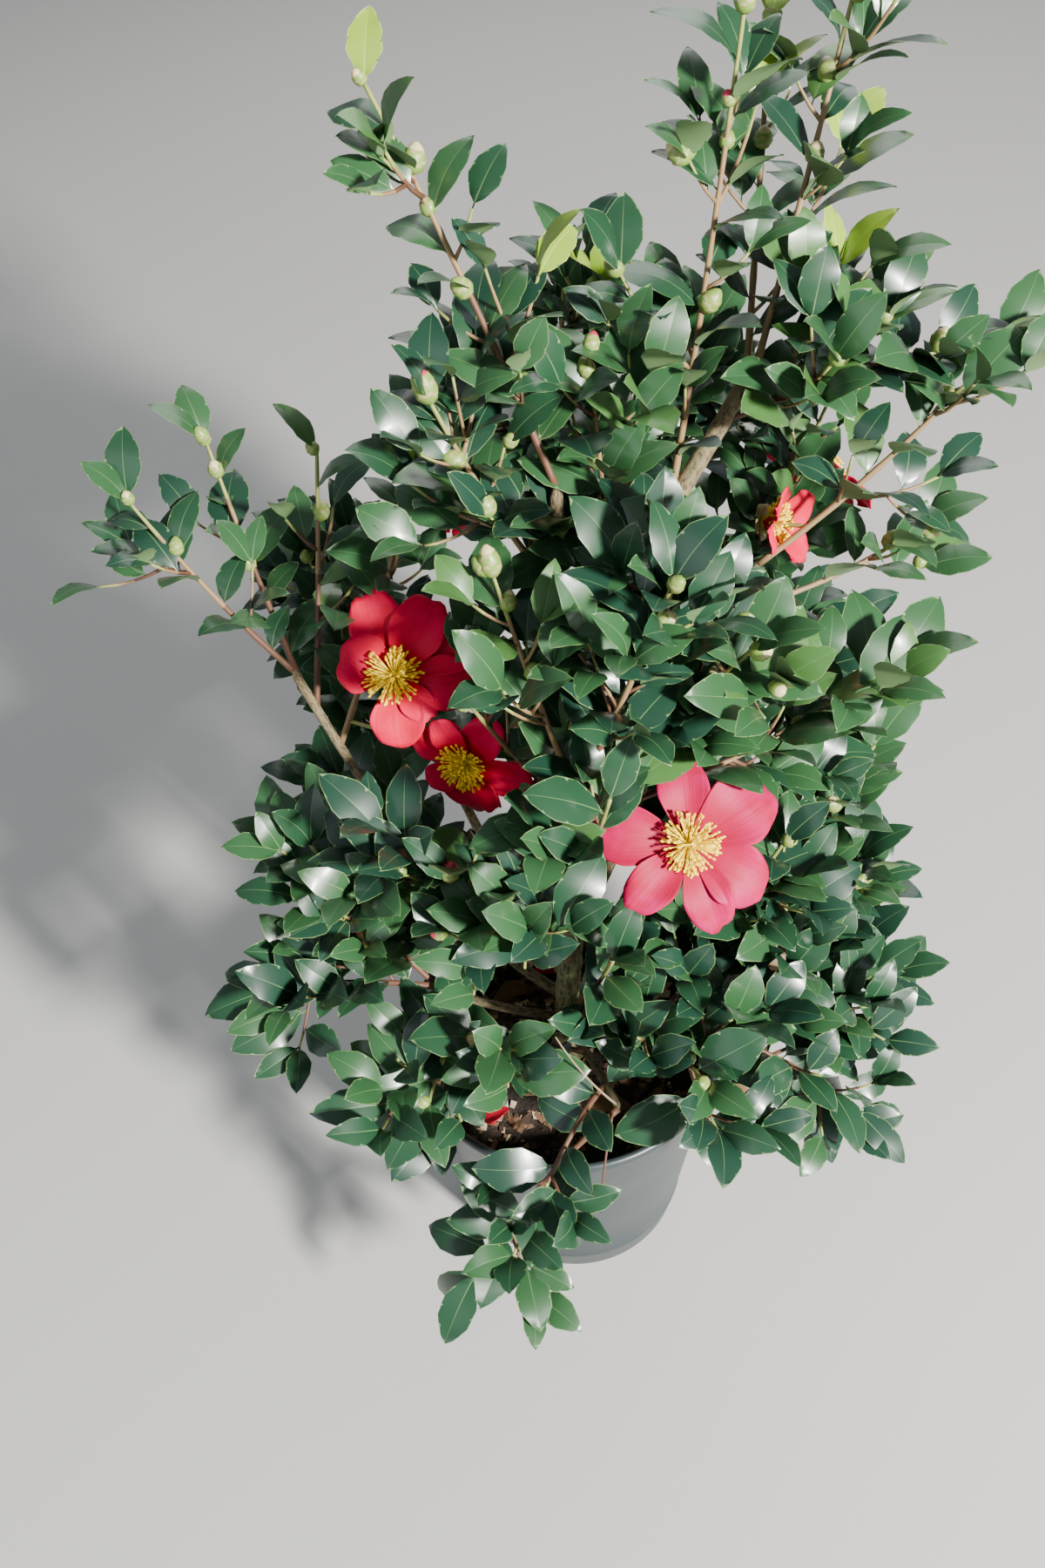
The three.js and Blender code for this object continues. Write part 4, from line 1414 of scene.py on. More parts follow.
@dataclass
class Growth:
    """The rule by which stems branch and bear leaves, with the numbers of the solids where they share one.

    Tuples of three give a value for stems, side twigs and finer twigs: `bare` is the share of a line that
    bears no leaves, `thick` and `thin` are its diameters, `tip_sizes` the sizes of its last leaves and
    `lime_shares` how often those at the top of the shrub are young. The spans give where on its carrier
    the first twig leaves and over what share the others follow. The leans give how much a twig takes of
    the carrier's direction, of straight out and of straight up.
    """

    PROBES = np.array([[0.4], [0.7], [1.0]])

    skeleton: Skeleton
    clearings: Clearings
    first_rank: float = 30
    upright: float = 0.75
    leaf_angle: float = 60
    leaf_sway: float = 22
    tip_lean: float = 34
    leaf_length: float = 36
    leaf_breadth: float = 0.48
    pitch: float = 10
    open_pitch: float = 1.55
    tip_leaves: int = 3
    fine_length: float = 27
    fine_gap: float = 20
    least_gap: float = 7.0
    leaf_middle: float = 0.55
    toward_light: tuple[float, float, float] = (0.14, -0.3, 0.0)
    reach_margin: float = 7
    bare: tuple[float, float, float] = (0.12, 0.22, 0.3)
    thick: tuple[float, float, float] = (3.4, 2.2, 1.7)
    thin: tuple[float, float, float] = (1.7, 1.4, 1.2)
    tip_sizes: tuple[float, float, float] = (1.0, 0.94, 0.8)
    lime_shares: tuple[float, float, float] = (1.0, 0.3, 0.0)
    twig_span: tuple[float, float] = (0.18, 0.66)
    twig_lean: tuple[float, float, float] = (0.66, 0.8, 0.2)
    twig_bow: float = 0.1
    fine_span: tuple[float, float] = (0.18, 0.68)
    fine_lean: tuple[float, float, float] = (0.6, 0.8, 0.25)
    fine_bow: float = 0.08
    fine_turn: float = 137.5
    last_at: float = 0.97
    tip_at: float = 0.985
    leaf_rise: float = 0.12
    face_sway: float = 0.35
    lime_elsewhere: float = 0.02
    thin_mass: float = 0.5
    thin_mass_size: float = 0.88
    old_above: float = 0.97
    painted_shade_height: float = 420
    tone_steps: tuple[float, float, float] = (0.18, 0.46, 0.95)
    tone_shift: float = 0.17

    def side_twigs(self, stem: Line, spec: Mass, mass: int) -> list[Line]:
        """Grows the side twigs of a stem: they leave it all round and sweep upward, as in the solids.

        Args:
            stem: The stem's line.
            spec: Its mass.
            mass: The mass's number.

        Returns:
            The twigs' lines, from the stem's foot to its tip.
        """
        lines = []
        count, longest = spec.twigs
        first, span = self.twig_span
        for k in range(count):
            at = first + span * (k + 0.3 + 0.4 * chance(mass, k, 0, 5)) / count
            rank = math.floor(3 * chance(mass, 0, 0, 6)) + k
            length = longest * (1.1 - 0.5 * at) * (0.85 + 0.3 * chance(mass, k, 0, 7))
            heading = stem.branch(at, math.radians(self.first_rank + 120 * rank), self.twig_lean)
            start = stem.point(at)
            lines.append(Line.bowed(start, start + heading * length, self.twig_bow * length))
        return lines

    def fine_twigs(self, line: Line, mass: int, twig: int) -> list[Line]:
        """Grows finer twigs between the others, each a short spray of leaves.

        Args:
            line: The stem or side twig that carries them.
            mass: The mass's number.
            twig: The carrier's number in it.

        Returns:
            The twigs' lines, from the carrier's foot to its tip.
        """
        lines = []
        count = round(line.length * list(MASSES.values())[mass].fullness / self.fine_gap)
        first, span = self.fine_span
        for k in range(count):
            at = first + span * (k + 0.5 * chance(mass, twig, k, 11)) / max(count, 1)
            turns = k + 3 * chance(mass, twig, 0, 12)
            around = math.radians(self.first_rank + 60 + self.fine_turn * turns)
            heading = line.branch(at, around, self.fine_lean)
            length = self.fine_length * (0.75 + 0.5 * chance(mass, twig, k, 13)) * (1.1 - 0.4 * at)
            start = line.point(at)
            lines.append(Line.bowed(start, start + heading * length, self.fine_bow * length))
        return lines

    def shoot(self, line: Line, mass: int, twig: int, order: int) -> Shoot:
        """One leafy line with the bare share and the diameters of its order."""
        return Shoot(line, mass, twig, self.bare[order], self.thick[order], self.thin[order], order)

    def shoots(self) -> list[Shoot]:
        """Grows every leafy line of the shrub, mass by mass, but no twig that would cross a clearing.

        Returns:
            The stem of each mass, its side twigs and then the finer twigs on them.
        """
        made = []
        for mass, (name, spec) in enumerate(MASSES.items()):
            stem = self.skeleton.stems[name]
            carriers = [self.shoot(stem, mass, 0, 0)]
            for k, line in enumerate(self.side_twigs(stem, spec, mass)):
                if self.clearings.allow(line.point([0.6, 0.8, 1.0])):
                    carriers.append(self.shoot(line, mass, 1 + k, 1))
            made += carriers
            for carrier in carriers:
                for k, line in enumerate(self.fine_twigs(carrier.line, mass, carrier.twig)):
                    if self.clearings.allow(line.point([0.7, 1.0])):
                        made.append(self.shoot(line, mass, 10 * (1 + carrier.twig) + k, 2))
        return made

    def tone(self, shoot: Shoot, site: int) -> Leaf:
        """Chooses a leaf's finish: its spray's own, darker low down as painted shade and lighter high up as
        painted light, or for one in five a neighbouring one.

        Args:
            shoot: The leafy line.
            site: The leaf's number on it.

        Returns:
            The finish's number.
        """
        mass, twig = shoot.mass, shoot.twig
        if shoot.order == 1 and site == 1 and chance(mass, twig, site, 24) > self.old_above:
            return Leaf.OLD
        # Leaves high in the shrub are dealt lighter greens and those low down darker ones: painted light
        # above, painted shade below.
        height = min(1.0, float(shoot.line.point(1.0)[2]) / self.painted_shade_height)
        spray = chance(mass, twig, 0, 9) * (0.3 + 0.8 * height)
        odd = chance(mass, twig, site, 10)
        shift = -self.tone_shift if odd < 0.1 else self.tone_shift if odd < 0.2 else 0.0
        return Leaf(sum(spray + shift > step for step in self.tone_steps))

    def leaves(self, shoot: Shoot) -> list[LeafSite]:
        """Places the leaves of one shoot: alternate, crowded at its tip, and youngest there.

        Args:
            shoot: The leafy line.

        Returns:
            Its leaf sites, from foot to tip.
        """
        line, mass, twig = shoot.line, shoot.mass, shoot.twig
        name = list(MASSES)[mass]
        fullness = MASSES[name].fullness
        pitch = self.pitch * (self.open_pitch if fullness < 1 else 1)
        count = max(1, round(line.length * (1 - shoot.bare) / pitch))
        total = count + self.tip_leaves - 1
        lime = self.lime_shares[shoot.order] if name.startswith("top") else self.lime_elsewhere
        has_young = chance(mass, twig, 0, 8) < lime and shoot.order < 2
        sites = []
        for i in range(total):
            draws = np.array([chance(mass, twig, i, k) for k in range(8)])
            at = shoot.bare + (self.last_at - shoot.bare) * i / count
            lean = self.leaf_angle + self.leaf_sway * (draws[1] - 0.5)
            size = 0.68 + 0.48 * draws[2]
            if i >= count:
                at = self.tip_at
                lean = self.tip_lean * (0.5 if i == total - 1 else 1.0)
                size = self.tip_sizes[shoot.order] * (0.78 + 0.32 * draws[2])
            if fullness < self.thin_mass:
                size *= self.thin_mass_size
            tangent = line.tangent(at)
            rank = i % 3 if tangent[2] > self.upright else i % 2
            around = math.radians(self.first_rank + 120 * rank + self.leaf_sway * (draws[0] - 0.5))
            out = line.outward(at, around)
            along = unit(turned(tangent, out, math.radians(lean)) + self.leaf_rise * UP)
            face = UP + 0.3 * tangent - 0.1 * out + np.array(self.toward_light)
            face = face + self.face_sway * (draws[4:7] - 0.5)
            breadth = self.leaf_breadth * (0.88 + 0.28 * draws[3])
            tone = Leaf.YOUNG if has_young and i >= count else self.tone(shoot, i)
            sites.append(LeafSite(line.point(at), along, face, self.leaf_length * size, breadth, tone, draws))
        return sites

    def grown(self, shoots: Sequence[Shoot]) -> tuple[dict[int, list[LeafSite]], list[Shoot]]:
        """All leaves, without those that leave their mass's reach, close a clearing or crowd another.

        Args:
            shoots: The leafy lines.

        Returns:
            The leaf sites of each mass, and the lines that are left: a finer twig needs two leaves.
        """
        names = list(MASSES)
        boxes = np.array([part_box(f"foliage_{name}") for name in names]) / MM
        low, high = boxes[:, 0] - self.reach_margin, boxes[:, 1] + self.reach_margin
        middles = np.zeros((0, 3))
        kept: dict[int, list[LeafSite]] = {mass: [] for mass in range(len(names))}
        alive = []
        for shoot in sorted(shoots, key=lambda each: each.order):
            fresh, spots = [], middles
            for site in self.leaves(shoot):
                probes = site.root + site.along * site.length * self.PROBES
                if np.any(probes[2] < low[shoot.mass]) or np.any(probes[2] > high[shoot.mass]):
                    continue
                middle = site.root + site.along * self.leaf_middle * site.length
                if len(spots) and np.linalg.norm(spots - middle, axis=1).min() < self.least_gap:
                    continue
                if self.clearings.allow(probes):
                    fresh.append(site)
                    spots = np.vstack([spots, middle])
            if shoot.order < 2 or len(fresh) > 1:
                kept[shoot.mass] += fresh
                middles = spots
                alive.append(shoot)
        return kept, alive


@dataclass
class Foliage:
    """The leaves: thin closed blades with a toothed pale margin, a raised rib and a paler underside."""

    STATIONS = np.array([0.0, 0.09, 0.18, 0.30, 0.43, 0.56, 0.69, 0.81, 0.92, 1.0])
    TEETH = np.array([0, 0, 1, -1, 1, -1, 1, -1, 0, 0])
    petiole: float = 0.09
    margin: float = 0.34
    rib: float = 0.3
    thick: float = 0.36
    tooth: float = 0.03
    quilt: float = 0.12
    rimmed_share: float = 0.45
    sharp: float = 70

    def blades(self, sites: Sequence[LeafSite]) -> tuple[Array, Array]:
        """The points of all leaves at once.

        A leaf runs along v from 0 to 1 and across u from -1 to 1. Its half breadth is
        b s^0.85 (1 - s)^0.86, with s from the petiole's end to the tip.
        Its middle line sinks by droop v^2 and its tip curls. Its halves rise as a |u| - b u^2 times the
        half breadth, and are quilted by the side veins.

        Args:
            sites: The leaf sites.

        Returns:
            Points of the upper skin, (leaf, station, 6, 3), and of the middle of the underside,
            (leaf, station, 3).
        """
        root, along, face = (np.array([getattr(s, key) for s in sites]) for key in ("root", "along", "face"))
        length = np.array([s.length for s in sites])[:, None]
        breadth = np.array([s.breadth for s in sites])[:, None]
        draws = np.array([s.draws for s in sites])
        side = unit(np.cross(face, along))
        upper = np.cross(along, side)
        v = self.STATIONS[None, :]
        s = np.clip((v - self.petiole) / (1 - self.petiole), 0, 1)
        oval = s**0.85 * (1 - s) ** 0.86 / 0.306
        half = length * breadth / 2 * oval + 0.2 + 0.34 * (1 - s)
        toothed = half * (1 + self.tooth * self.TEETH)
        inner = np.maximum(toothed - self.margin, 0.62 * toothed)
        rib = np.minimum(self.rib * (1.1 - v), 0.4 * inner)
        across = np.stack([-toothed, -inner, -rib, rib, inner, toothed], axis=-1)
        shares = np.abs(across) / half[..., None]
        fold = (0.14 + 0.22 * draws[:, 7])[:, None, None]
        lift = half[..., None] * (fold * shares - 0.22 * shares**2)
        lift[..., 2:4] -= 0.14
        lift[..., [1, 4]] += self.quilt * self.TEETH[:, None]
        droop = (0.05 + 0.18 * draws[:, 5])[:, None]
        arch = (0.04 + 0.07 * draws[:, 6])[:, None]
        middle = length * (arch * np.sin(math.pi * v) - droop * v**2 - 0.05 * v**6)
        sway = length * (0.06 * (draws[:, 4] - 0.5))[:, None] * np.sin(math.pi * v)
        wave = 0.4 * np.sin(9 * v + 6 * draws[:, 3:4])[..., None] * np.sign(across) * (shares > 0.8)
        reach = (length * v)[..., None] * np.ones(6)
        points = (
            root[:, None, None]
            + along[:, None, None] * reach[..., None]
            + side[:, None, None] * (across + sway[..., None])[..., None]
            + upper[:, None, None] * (middle[..., None] + lift + wave)[..., None]
        )
        under = (points[:, :, 2] + points[:, :, 3]) / 2 - upper[:, None] * self.thick
        return points, under

    def faces(self) -> tuple[Array, Array, Array]:
        """The faces of one leaf.

        Returns:
            The upper quads station by station, the two halves underneath, and the two ends.
        """
        rows = len(self.STATIONS) - 1
        top = grid_faces(rows, 5)
        station = np.arange(rows)
        low = 6 * (rows + 1)
        left = np.stack([6 * station, 6 * station + 6, low + station + 1, low + station], axis=1)
        right = np.stack([low + station, low + station + 1, 6 * station + 11, 6 * station + 5], axis=1)
        foot = np.append(np.arange(6), low)
        tip = np.append(6 * rows + np.arange(5, -1, -1), low + rows)
        return top[:, ::-1], np.concatenate([left, right])[:, ::-1], np.stack([foot, tip])

    def build(self, name: str, sites: Sequence[LeafSite], nodes: Sequence[str]) -> None:
        """Makes one piece of leaves.

        Args:
            name: The piece's name.
            sites: Its leaf sites.
            nodes: The foliage nodes that it stands for.
        """
        points, under = self.blades(sites)
        count, stations = points.shape[:2]
        each = stations * 7
        joined = np.concatenate([points.reshape(count, -1, 3), under], axis=1)
        start = each * np.arange(count)[:, None, None]
        tone = np.array([site.tone for site in sites])
        rimmed = np.array([site.draws[6] for site in sites]) < self.rimmed_share
        margin = np.where(rimmed, Leaf.MARGIN, np.minimum(tone + 1, Leaf.FRESH_LIT))
        margin = np.where(tone == Leaf.YOUNG, Leaf.YOUNG_MARGIN, margin)
        rib = np.where(tone == Leaf.YOUNG, Leaf.YOUNG_MARGIN, Leaf.RIB)
        strips = np.stack([margin, tone, rib, tone, margin], axis=1)
        top_slots = np.tile(strips, (1, stations - 1))
        pile = Pile()
        pile.add(
            joined,
            [(group[None] + start).reshape(-1, group.shape[1]) for group in self.faces()],
            [top_slots.ravel(), Leaf.UNDER, Leaf.UNDER],
        )
        pile.write(name, LEAF_FINISHES, "foliage", nodes, self.sharp)


@dataclass
class Twigs:
    """The stems and twigs, brown at their feet and green at their tips.

    Those that start below `low` are brown up to their green tips. `dead` gives each dead twig's start,
    knee and end.
    """

    sides: int = 6
    band: float = 7
    dead_band: float = 5
    low: float = 250
    green_from: float = 0.78
    knot_pitch: float = 10.5
    knot: float = 0.09
    brown_share: float = 0.6
    dead_radius: float = 0.65
    dead_taper: float = 0.3
    dead: tuple[tuple[tuple[float, float, float], ...], ...] = (
        ((19, -66, 191), (4, -66, 216), (-7, -58, 241)),
        ((17, -70, 190), (10, -92, 180), (8, -95, 140)),
        ((54, -60, 207), (58, -78, 206), (58, -86, 179)),
    )

    def build(self, shoots: Sequence[Shoot]) -> None:
        """Makes all leafy lines and the bare, dead twigs one piece of thin tubes.

        Args:
            shoots: The leafy lines.
        """
        pile = Pile()
        for shoot in shoots:
            rings = max(3, round(shoot.line.length / self.band))
            share = (np.arange(rings) + 0.5) / rings
            brown = 0.15 + 0.5 * chance(shoot.mass, shoot.twig, 1, 14)
            low = bool(shoot.line.point(0.0)[2] < self.low)
            first = Wood.BROWN if low or chance(shoot.mass, 0, 1, 15) < self.brown_share else Wood.TAN
            then = Wood.BROWN if low else Wood.TAN
            slots = np.where(share < brown, first, np.where(share < self.green_from, then, Wood.GREEN))

            def radius(along: Array, shoot: Shoot = shoot) -> Array:
                """Taper with small knots at the leaves' feet."""
                knots = 1 + self.knot * np.cos(2 * math.pi * along * shoot.line.length / self.knot_pitch)
                return (shoot.thick + (shoot.thin - shoot.thick) * along) / 2 * knots

            add_tube(pile, shoot.line, radius, self.sides, rings, slots)
        for number, points in enumerate(self.dead):
            line = Line(*points)
            tone = (Wood.DEAD, Wood.BROWN)[number % 2]
            rings = round(line.length / self.dead_band)
            add_tube(
                pile, line, lambda along: self.dead_radius - self.dead_taper * along, self.sides, rings, tone
            )
        pile.write("twigs", WOOD_FINISHES, "foliage", [f"foliage_{name}" for name in MASSES])


@dataclass
class Buds:
    """Egg-shaped flower buds of overlapping scales, some of them showing colour at the tip.

    A line carries up to `most` buds, the second number where its mass has at most one in the solids.
    `large` gives the mass, the length and the tip's finish of the buds that the photo shows close by,
    and `plain_tip` the mass whose stem ends in leaves alone.
    """

    clearings: Clearings
    length: float = 11.5
    long_from: float = 13
    stout: tuple[float, float] = (0.38, 0.3)
    most: tuple[float, float] = (2.6, 1.3)
    fine_without: float = 0.8
    rows: int = 10
    facets: int = 10
    sharp: float = 80
    span: tuple[float, float] = (0.97, 0.72)
    lean: tuple[float, float, float] = (0.75, 0.7, 0.25)
    tip_from: float = 0.84
    rim_from: float = 0.72
    cream_below: float = 0.5
    rose_below: float = 0.58
    plain_tip: str = "top_left"
    large: tuple[tuple[str, float, Scale], ...] = (
        ("front_left", 15, Scale.CREAM),
        ("crown_left", 17, Scale.ROSE),
        ("top_centre", 11, Scale.CREAM),
    )

    def add(self, pile: Pile, root: Array, along: Array, length: float, tip: Scale, draw: float) -> None:
        """Adds one bud.

        Its radius is r v^0.55 (1 - v)^0.75, widest below its middle, with three tiers of scales. Their rims
        stand out where v * 3.4 + 0.8 |sin(1.5 u)| passes a whole number, and have a finish of their own.

        Args:
            pile: Where it goes.
            root: Its foot on the twig.
            along: Its direction.
            length: Its length.
            tip: Its tip's finish.
            draw: A number from 0 to 1 that turns its scales.
        """
        v = np.linspace(0.03, 0.97, self.rows + 1)[:, None]
        u = np.linspace(0, 2 * math.pi, self.facets, endpoint=False)[None, :]
        tiers = np.mod(3.4 * v + 0.8 * np.abs(np.sin(1.5 * u + 2 * draw)), 1)
        stout = length * self.stout[length >= self.long_from]
        radius = stout * v**0.55 * (1 - v) ** 0.75 / 0.41 * (1 + 0.13 * (tiers - 0.5))
        side = unit(np.cross(along, UP if abs(along[2]) < 0.9 else RIGHT))
        upper = np.cross(along, side)
        points = (
            root
            + along * (v * length + np.zeros_like(u))[..., None]
            + side * (radius * np.cos(u))[..., None]
            + upper * (radius * np.sin(u))[..., None]
        )
        rows = (np.arange(self.rows) + 0.5)[:, None] / self.rows + np.zeros((1, self.facets))
        rims = (tiers[:-1] > self.rim_from) & (rows > 0.15)
        slots = np.where(rows > self.tip_from, tip, np.where(rims, Scale.RIM, Scale.GREEN))
        pile.add_rings(points, slots)

    def build(self, shoots: Sequence[Shoot], growth: Growth) -> None:
        """Makes all buds, on the stems and twigs that the solids give them and in many axils besides.

        Args:
            shoots: The leafy lines.
            growth: The rule that places their leaves.
        """
        pile = Pile()
        names, specs = list(MASSES), list(MASSES.values())
        large = {name: (length, tip) for name, length, tip in self.large}
        first, span = self.span
        for shoot in shoots:
            mass, twig = shoot.mass, shoot.twig
            wanted = int(self.most[specs[mass].buds <= 1] * chance(mass, twig, 0, 16))
            if shoot.order == 0:
                wanted = specs[mass].buds + int(specs[mass].buds > 0)
            if shoot.order == 2 and chance(mass, twig, 0, 17) < self.fine_without:
                continue
            sites = growth.leaves(shoot)
            for k in range(wanted):
                at = first - span * k / max(wanted, 1) * (0.8 + 0.4 * chance(mass, twig, k, 18))
                site = sites[min(len(sites) - 1, int(at * len(sites)))]
                around = 2 * math.pi * chance(mass, twig, k, 19)
                along = shoot.line.branch(at, around, self.lean)
                length = self.length * (0.62 + 0.42 * chance(mass, twig, k, 20))
                draw = float(site.draws[5])
                tip = Scale.GREEN
                if draw < self.rose_below:
                    tip = Scale.CREAM if draw < self.cream_below else Scale.ROSE
                root = site.root if k else shoot.line.point(at)
                if k == 0 and shoot.order == 0 and names[mass] == self.plain_tip:
                    continue
                if k == 0 and twig == 0 and names[mass] in large:
                    length, tip = large[names[mass]]
                    along = unit(shoot.line.tangent(at) + 0.5 * UP)
                if self.clearings.allow((root + along * length)[None]):
                    self.add(pile, root, along, length, tip, draw)
        pile.write("flower_buds", BUD_FINISHES, "foliage", sharp=self.sharp)


@dataclass
class Blossom:
    """Open single flowers: long, round-ended petals round a broad tuft of golden stamens."""

    skeleton: Skeleton
    rows: int = 14
    columns: int = 12
    thick: float = 0.5
    stamens: int = 150
    stamen_length: float = 15
    splay: float = 50
    usual_size: float = 68
    tuft: float = 2.8
    column: float = 2.4
    column_flare: float = 1.5
    stalk: float = 0.9
    stalk_flare: float = 0.5
    filament: float = 0.36
    anther: float = 0.4
    anther_length: float = 1.6
    sepals: int = 7
    sepal: Petal = Petal(0, 1.0, 0.9, 0.35)
    sepal_length: float = 9
    seed: int = 5

    def add_petal(
        self, pile: Pile, root: Array, along: Array, facing: Array, size: float, petal: Petal, draws: Array,
        slot: int = 0, coarse: bool = False,
    ) -> None:
        """Adds one petal: a thin closed spoon with a narrow root and a round, wavy end.

        Its half breadth grows from 0.24 b at the root to b at v = 0.7 and then falls by a tenth. Its rows
        bend back by 0.3 v^3 (1 - sqrt(1 - u^2)), so that its end is half round, and the last ones dip at
        their middle. Across, it is a shallow trough 0.2 b u^2, and along, it rises in an arch and curls
        back beyond it.

        Args:
            pile: Where it goes.
            root: The flower's heart.
            along: The petal's direction away from the heart.
            facing: Where the flower looks.
            size: The flower's half width, of which the petal's length is a share.
            petal: The petal's own shares.
            draws: Four numbers from 0 to 1 for its waves.
            slot: The finish's number.
            coarse: Whether it is a small scale, for which a few faces do.
        """
        rows, columns = (5, 5) if coarse else (self.rows, self.columns)
        v = np.linspace(0.0, 1.0, rows + 1)[:, None]
        u = np.sin(np.linspace(-math.pi / 2, math.pi / 2, columns + 1))[None, :]
        lift = math.radians(70 * petal.lift)
        heading, upper = turned(along, facing, lift), turned(facing, -along, lift)
        side = np.cross(upper, heading)
        length = size * petal.length
        widest = 0.7
        grows = np.sin(np.clip(v / widest, 0, 1) * math.pi / 2) ** 1.3
        shrinks = np.clip((v - widest) / (1 - widest), 0, 1)
        share = (0.24 + 0.76 * grows) * (1 - 0.1 * shrinks**2)
        half = length * petal.breadth / 2 * share
        notch = 0.06 * draws[1] * np.exp(-(((u - 0.3 * draws[0]) / 0.22) ** 2)) * v**8
        ruffle = 0.016 * np.cos(5.5 * u + 6 * draws[2]) * v**5
        reach = length * v * (1 - 0.3 * v**2 * (1 - np.sqrt(np.maximum(1 - u**2, 0))) - notch + ruffle)
        arch = length * (0.1 * np.sin(math.pi * np.clip(v * 0.9, 0, 1)) - (0.05 + 0.1 * draws[3]) * v**4)
        trough = 0.2 * half * (u**2 - 0.3)
        waves = 0.024 * length * (
            v**2 * np.sin(4.5 * u + 6 * draws[0]) + 0.6 * v * np.sin(6 * v + 4 * u + 6 * draws[2])
        )
        points = (
            root
            + heading * reach[..., None]
            + side * (half * u)[..., None]
            + upper * (arch + trough + waves)[..., None]
        )
        below = points - upper * self.thick
        count = (rows + 1) * (columns + 1)
        top = grid_faces(rows, columns)[:, ::-1]
        edge = np.concatenate([
            np.arange(columns + 1),
            (columns + 1) * np.arange(1, rows + 1) + columns,
            count - 2 - np.arange(columns),
            (columns + 1) * np.arange(rows - 1, 0, -1),
        ])
        follows = np.roll(edge, -1)
        rim = np.stack([edge, follows, follows + count, edge + count], axis=1)
        places = np.stack(np.broadcast_arrays(u / 4 + 0.5, v), axis=-1)
        pile.add(
            np.concatenate([points.reshape(-1, 3), below.reshape(-1, 3)]),
            [top, top[:, ::-1] + count, rim],
            [slot, slot, slot],
            np.concatenate([places.reshape(-1, 2)] * 2),
        )

    def add_stamens(self, pile: Pile, spec: FlowerSpec, rng: np.random.Generator) -> None:
        """Adds a tuft of filaments that splay from a short column, each with its anther.

        Args:
            pile: Where they go.
            spec: The flower.
            rng: The source of its own draws.
        """
        facing = spec.facing()
        side, upper = square_to(facing)
        heart = np.array(spec.to, float)
        column = Line(heart - facing, heart + 3 * facing, heart + 0.32 * self.stamen_length * facing)
        add_tube(pile, column, lambda along: self.column + self.column_flare * along, 14, 4, 0)
        for _ in range(self.stamens):
            turn = rng.random() * 2 * math.pi
            spread = math.sqrt(rng.random())
            lean = math.radians(self.splay * spread + 4 * rng.normal())
            away = turned(side, upper, turn)
            foot = heart + away * self.tuft * spread + facing
            length = self.stamen_length * spec.size / self.usual_size * rng.uniform(0.8, 1.05)
            length *= 1 - 0.12 * spread
            heading = turned(facing, away, lean)
            tip = foot + heading * length
            line = Line(foot, foot + unit(facing + 0.4 * heading) * length * 0.5, tip)
            add_tube(pile, line, lambda along: self.filament - 0.06 * along, 3, 3, 0)
            end = tip + unit(away + 0.6 * heading) * self.anther_length
            grain = Line(tip - heading * 0.2, tip + away * 0.2, end)
            add_tube(pile, grain, lambda along: self.anther + 0.3 * np.sin(math.pi * along), 4, 2, 1)

    def build(self) -> None:
        """Makes the petals, the stamens and the stalks with their scales, each kind as one piece."""
        rng = np.random.default_rng(self.seed)
        petals, stamens, stalks = Pile(), Pile(), Pile()
        for spec in FLOWERS:
            facing = spec.facing()
            side, upper = square_to(facing)
            heart = np.array(spec.to, float)
            for k, petal in enumerate(spec.petals):
                along = turned(side, upper, math.radians(petal.turn))
                root = heart + facing * 0.6 * (k % 2) + along * 1.5
                self.add_petal(petals, root, along, facing, spec.size / 2, petal, rng.random(4), spec.tint)
            self.add_stamens(stamens, spec, rng)
            stem = self.skeleton.stems[spec.on]
            stalk = Line.bowed(stem.point(spec.at), heart - facing * 2, 0)
            add_tube(stalks, stalk, lambda along: self.stalk + self.stalk_flare * along, 7, 8, 0)
            for k in range(self.sepals):
                along = turned(side, upper, 2 * math.pi * k / 5 + 0.4)
                foot = heart - facing * (3.4 - 0.2 * k)
                self.add_petal(
                    stalks, foot, along, facing, self.sepal_length, self.sepal, rng.random(4), 1, coarse=True
                )
        # The two reds are lit and shaded copies of one red. The brighter is painted light for the flowers in
        # the crown's shade; the darker rose red is painted shade for the flower the key lamp lights fully.
        reds = [
            PetalFinish("petal_red_painted_light", (0.56, 0.0006, 0.03), (0.7, 0.002, 0.06)),
            PetalFinish("petal_rose_red_painted_shade", (0.34, 0.0002, 0.034), (0.48, 0.002, 0.1)),
        ]
        gold = [
            PlainFinish("filament_gold", (1.0, 0.78, 0.02), 0.5),
            PlainFinish("anther_yellow", (1.0, 0.68, 0.01), 0.6),
        ]
        green = [WOOD_FINISHES[Wood.GREEN], PlainFinish("calyx_scale", (0.25, 0.22, 0.08), 0.6)]
        petals.write("petals", reds, "foliage")
        stamens.write("stamens", gold, "foliage")
        stalks.write("flower_stalks", green, "foliage")


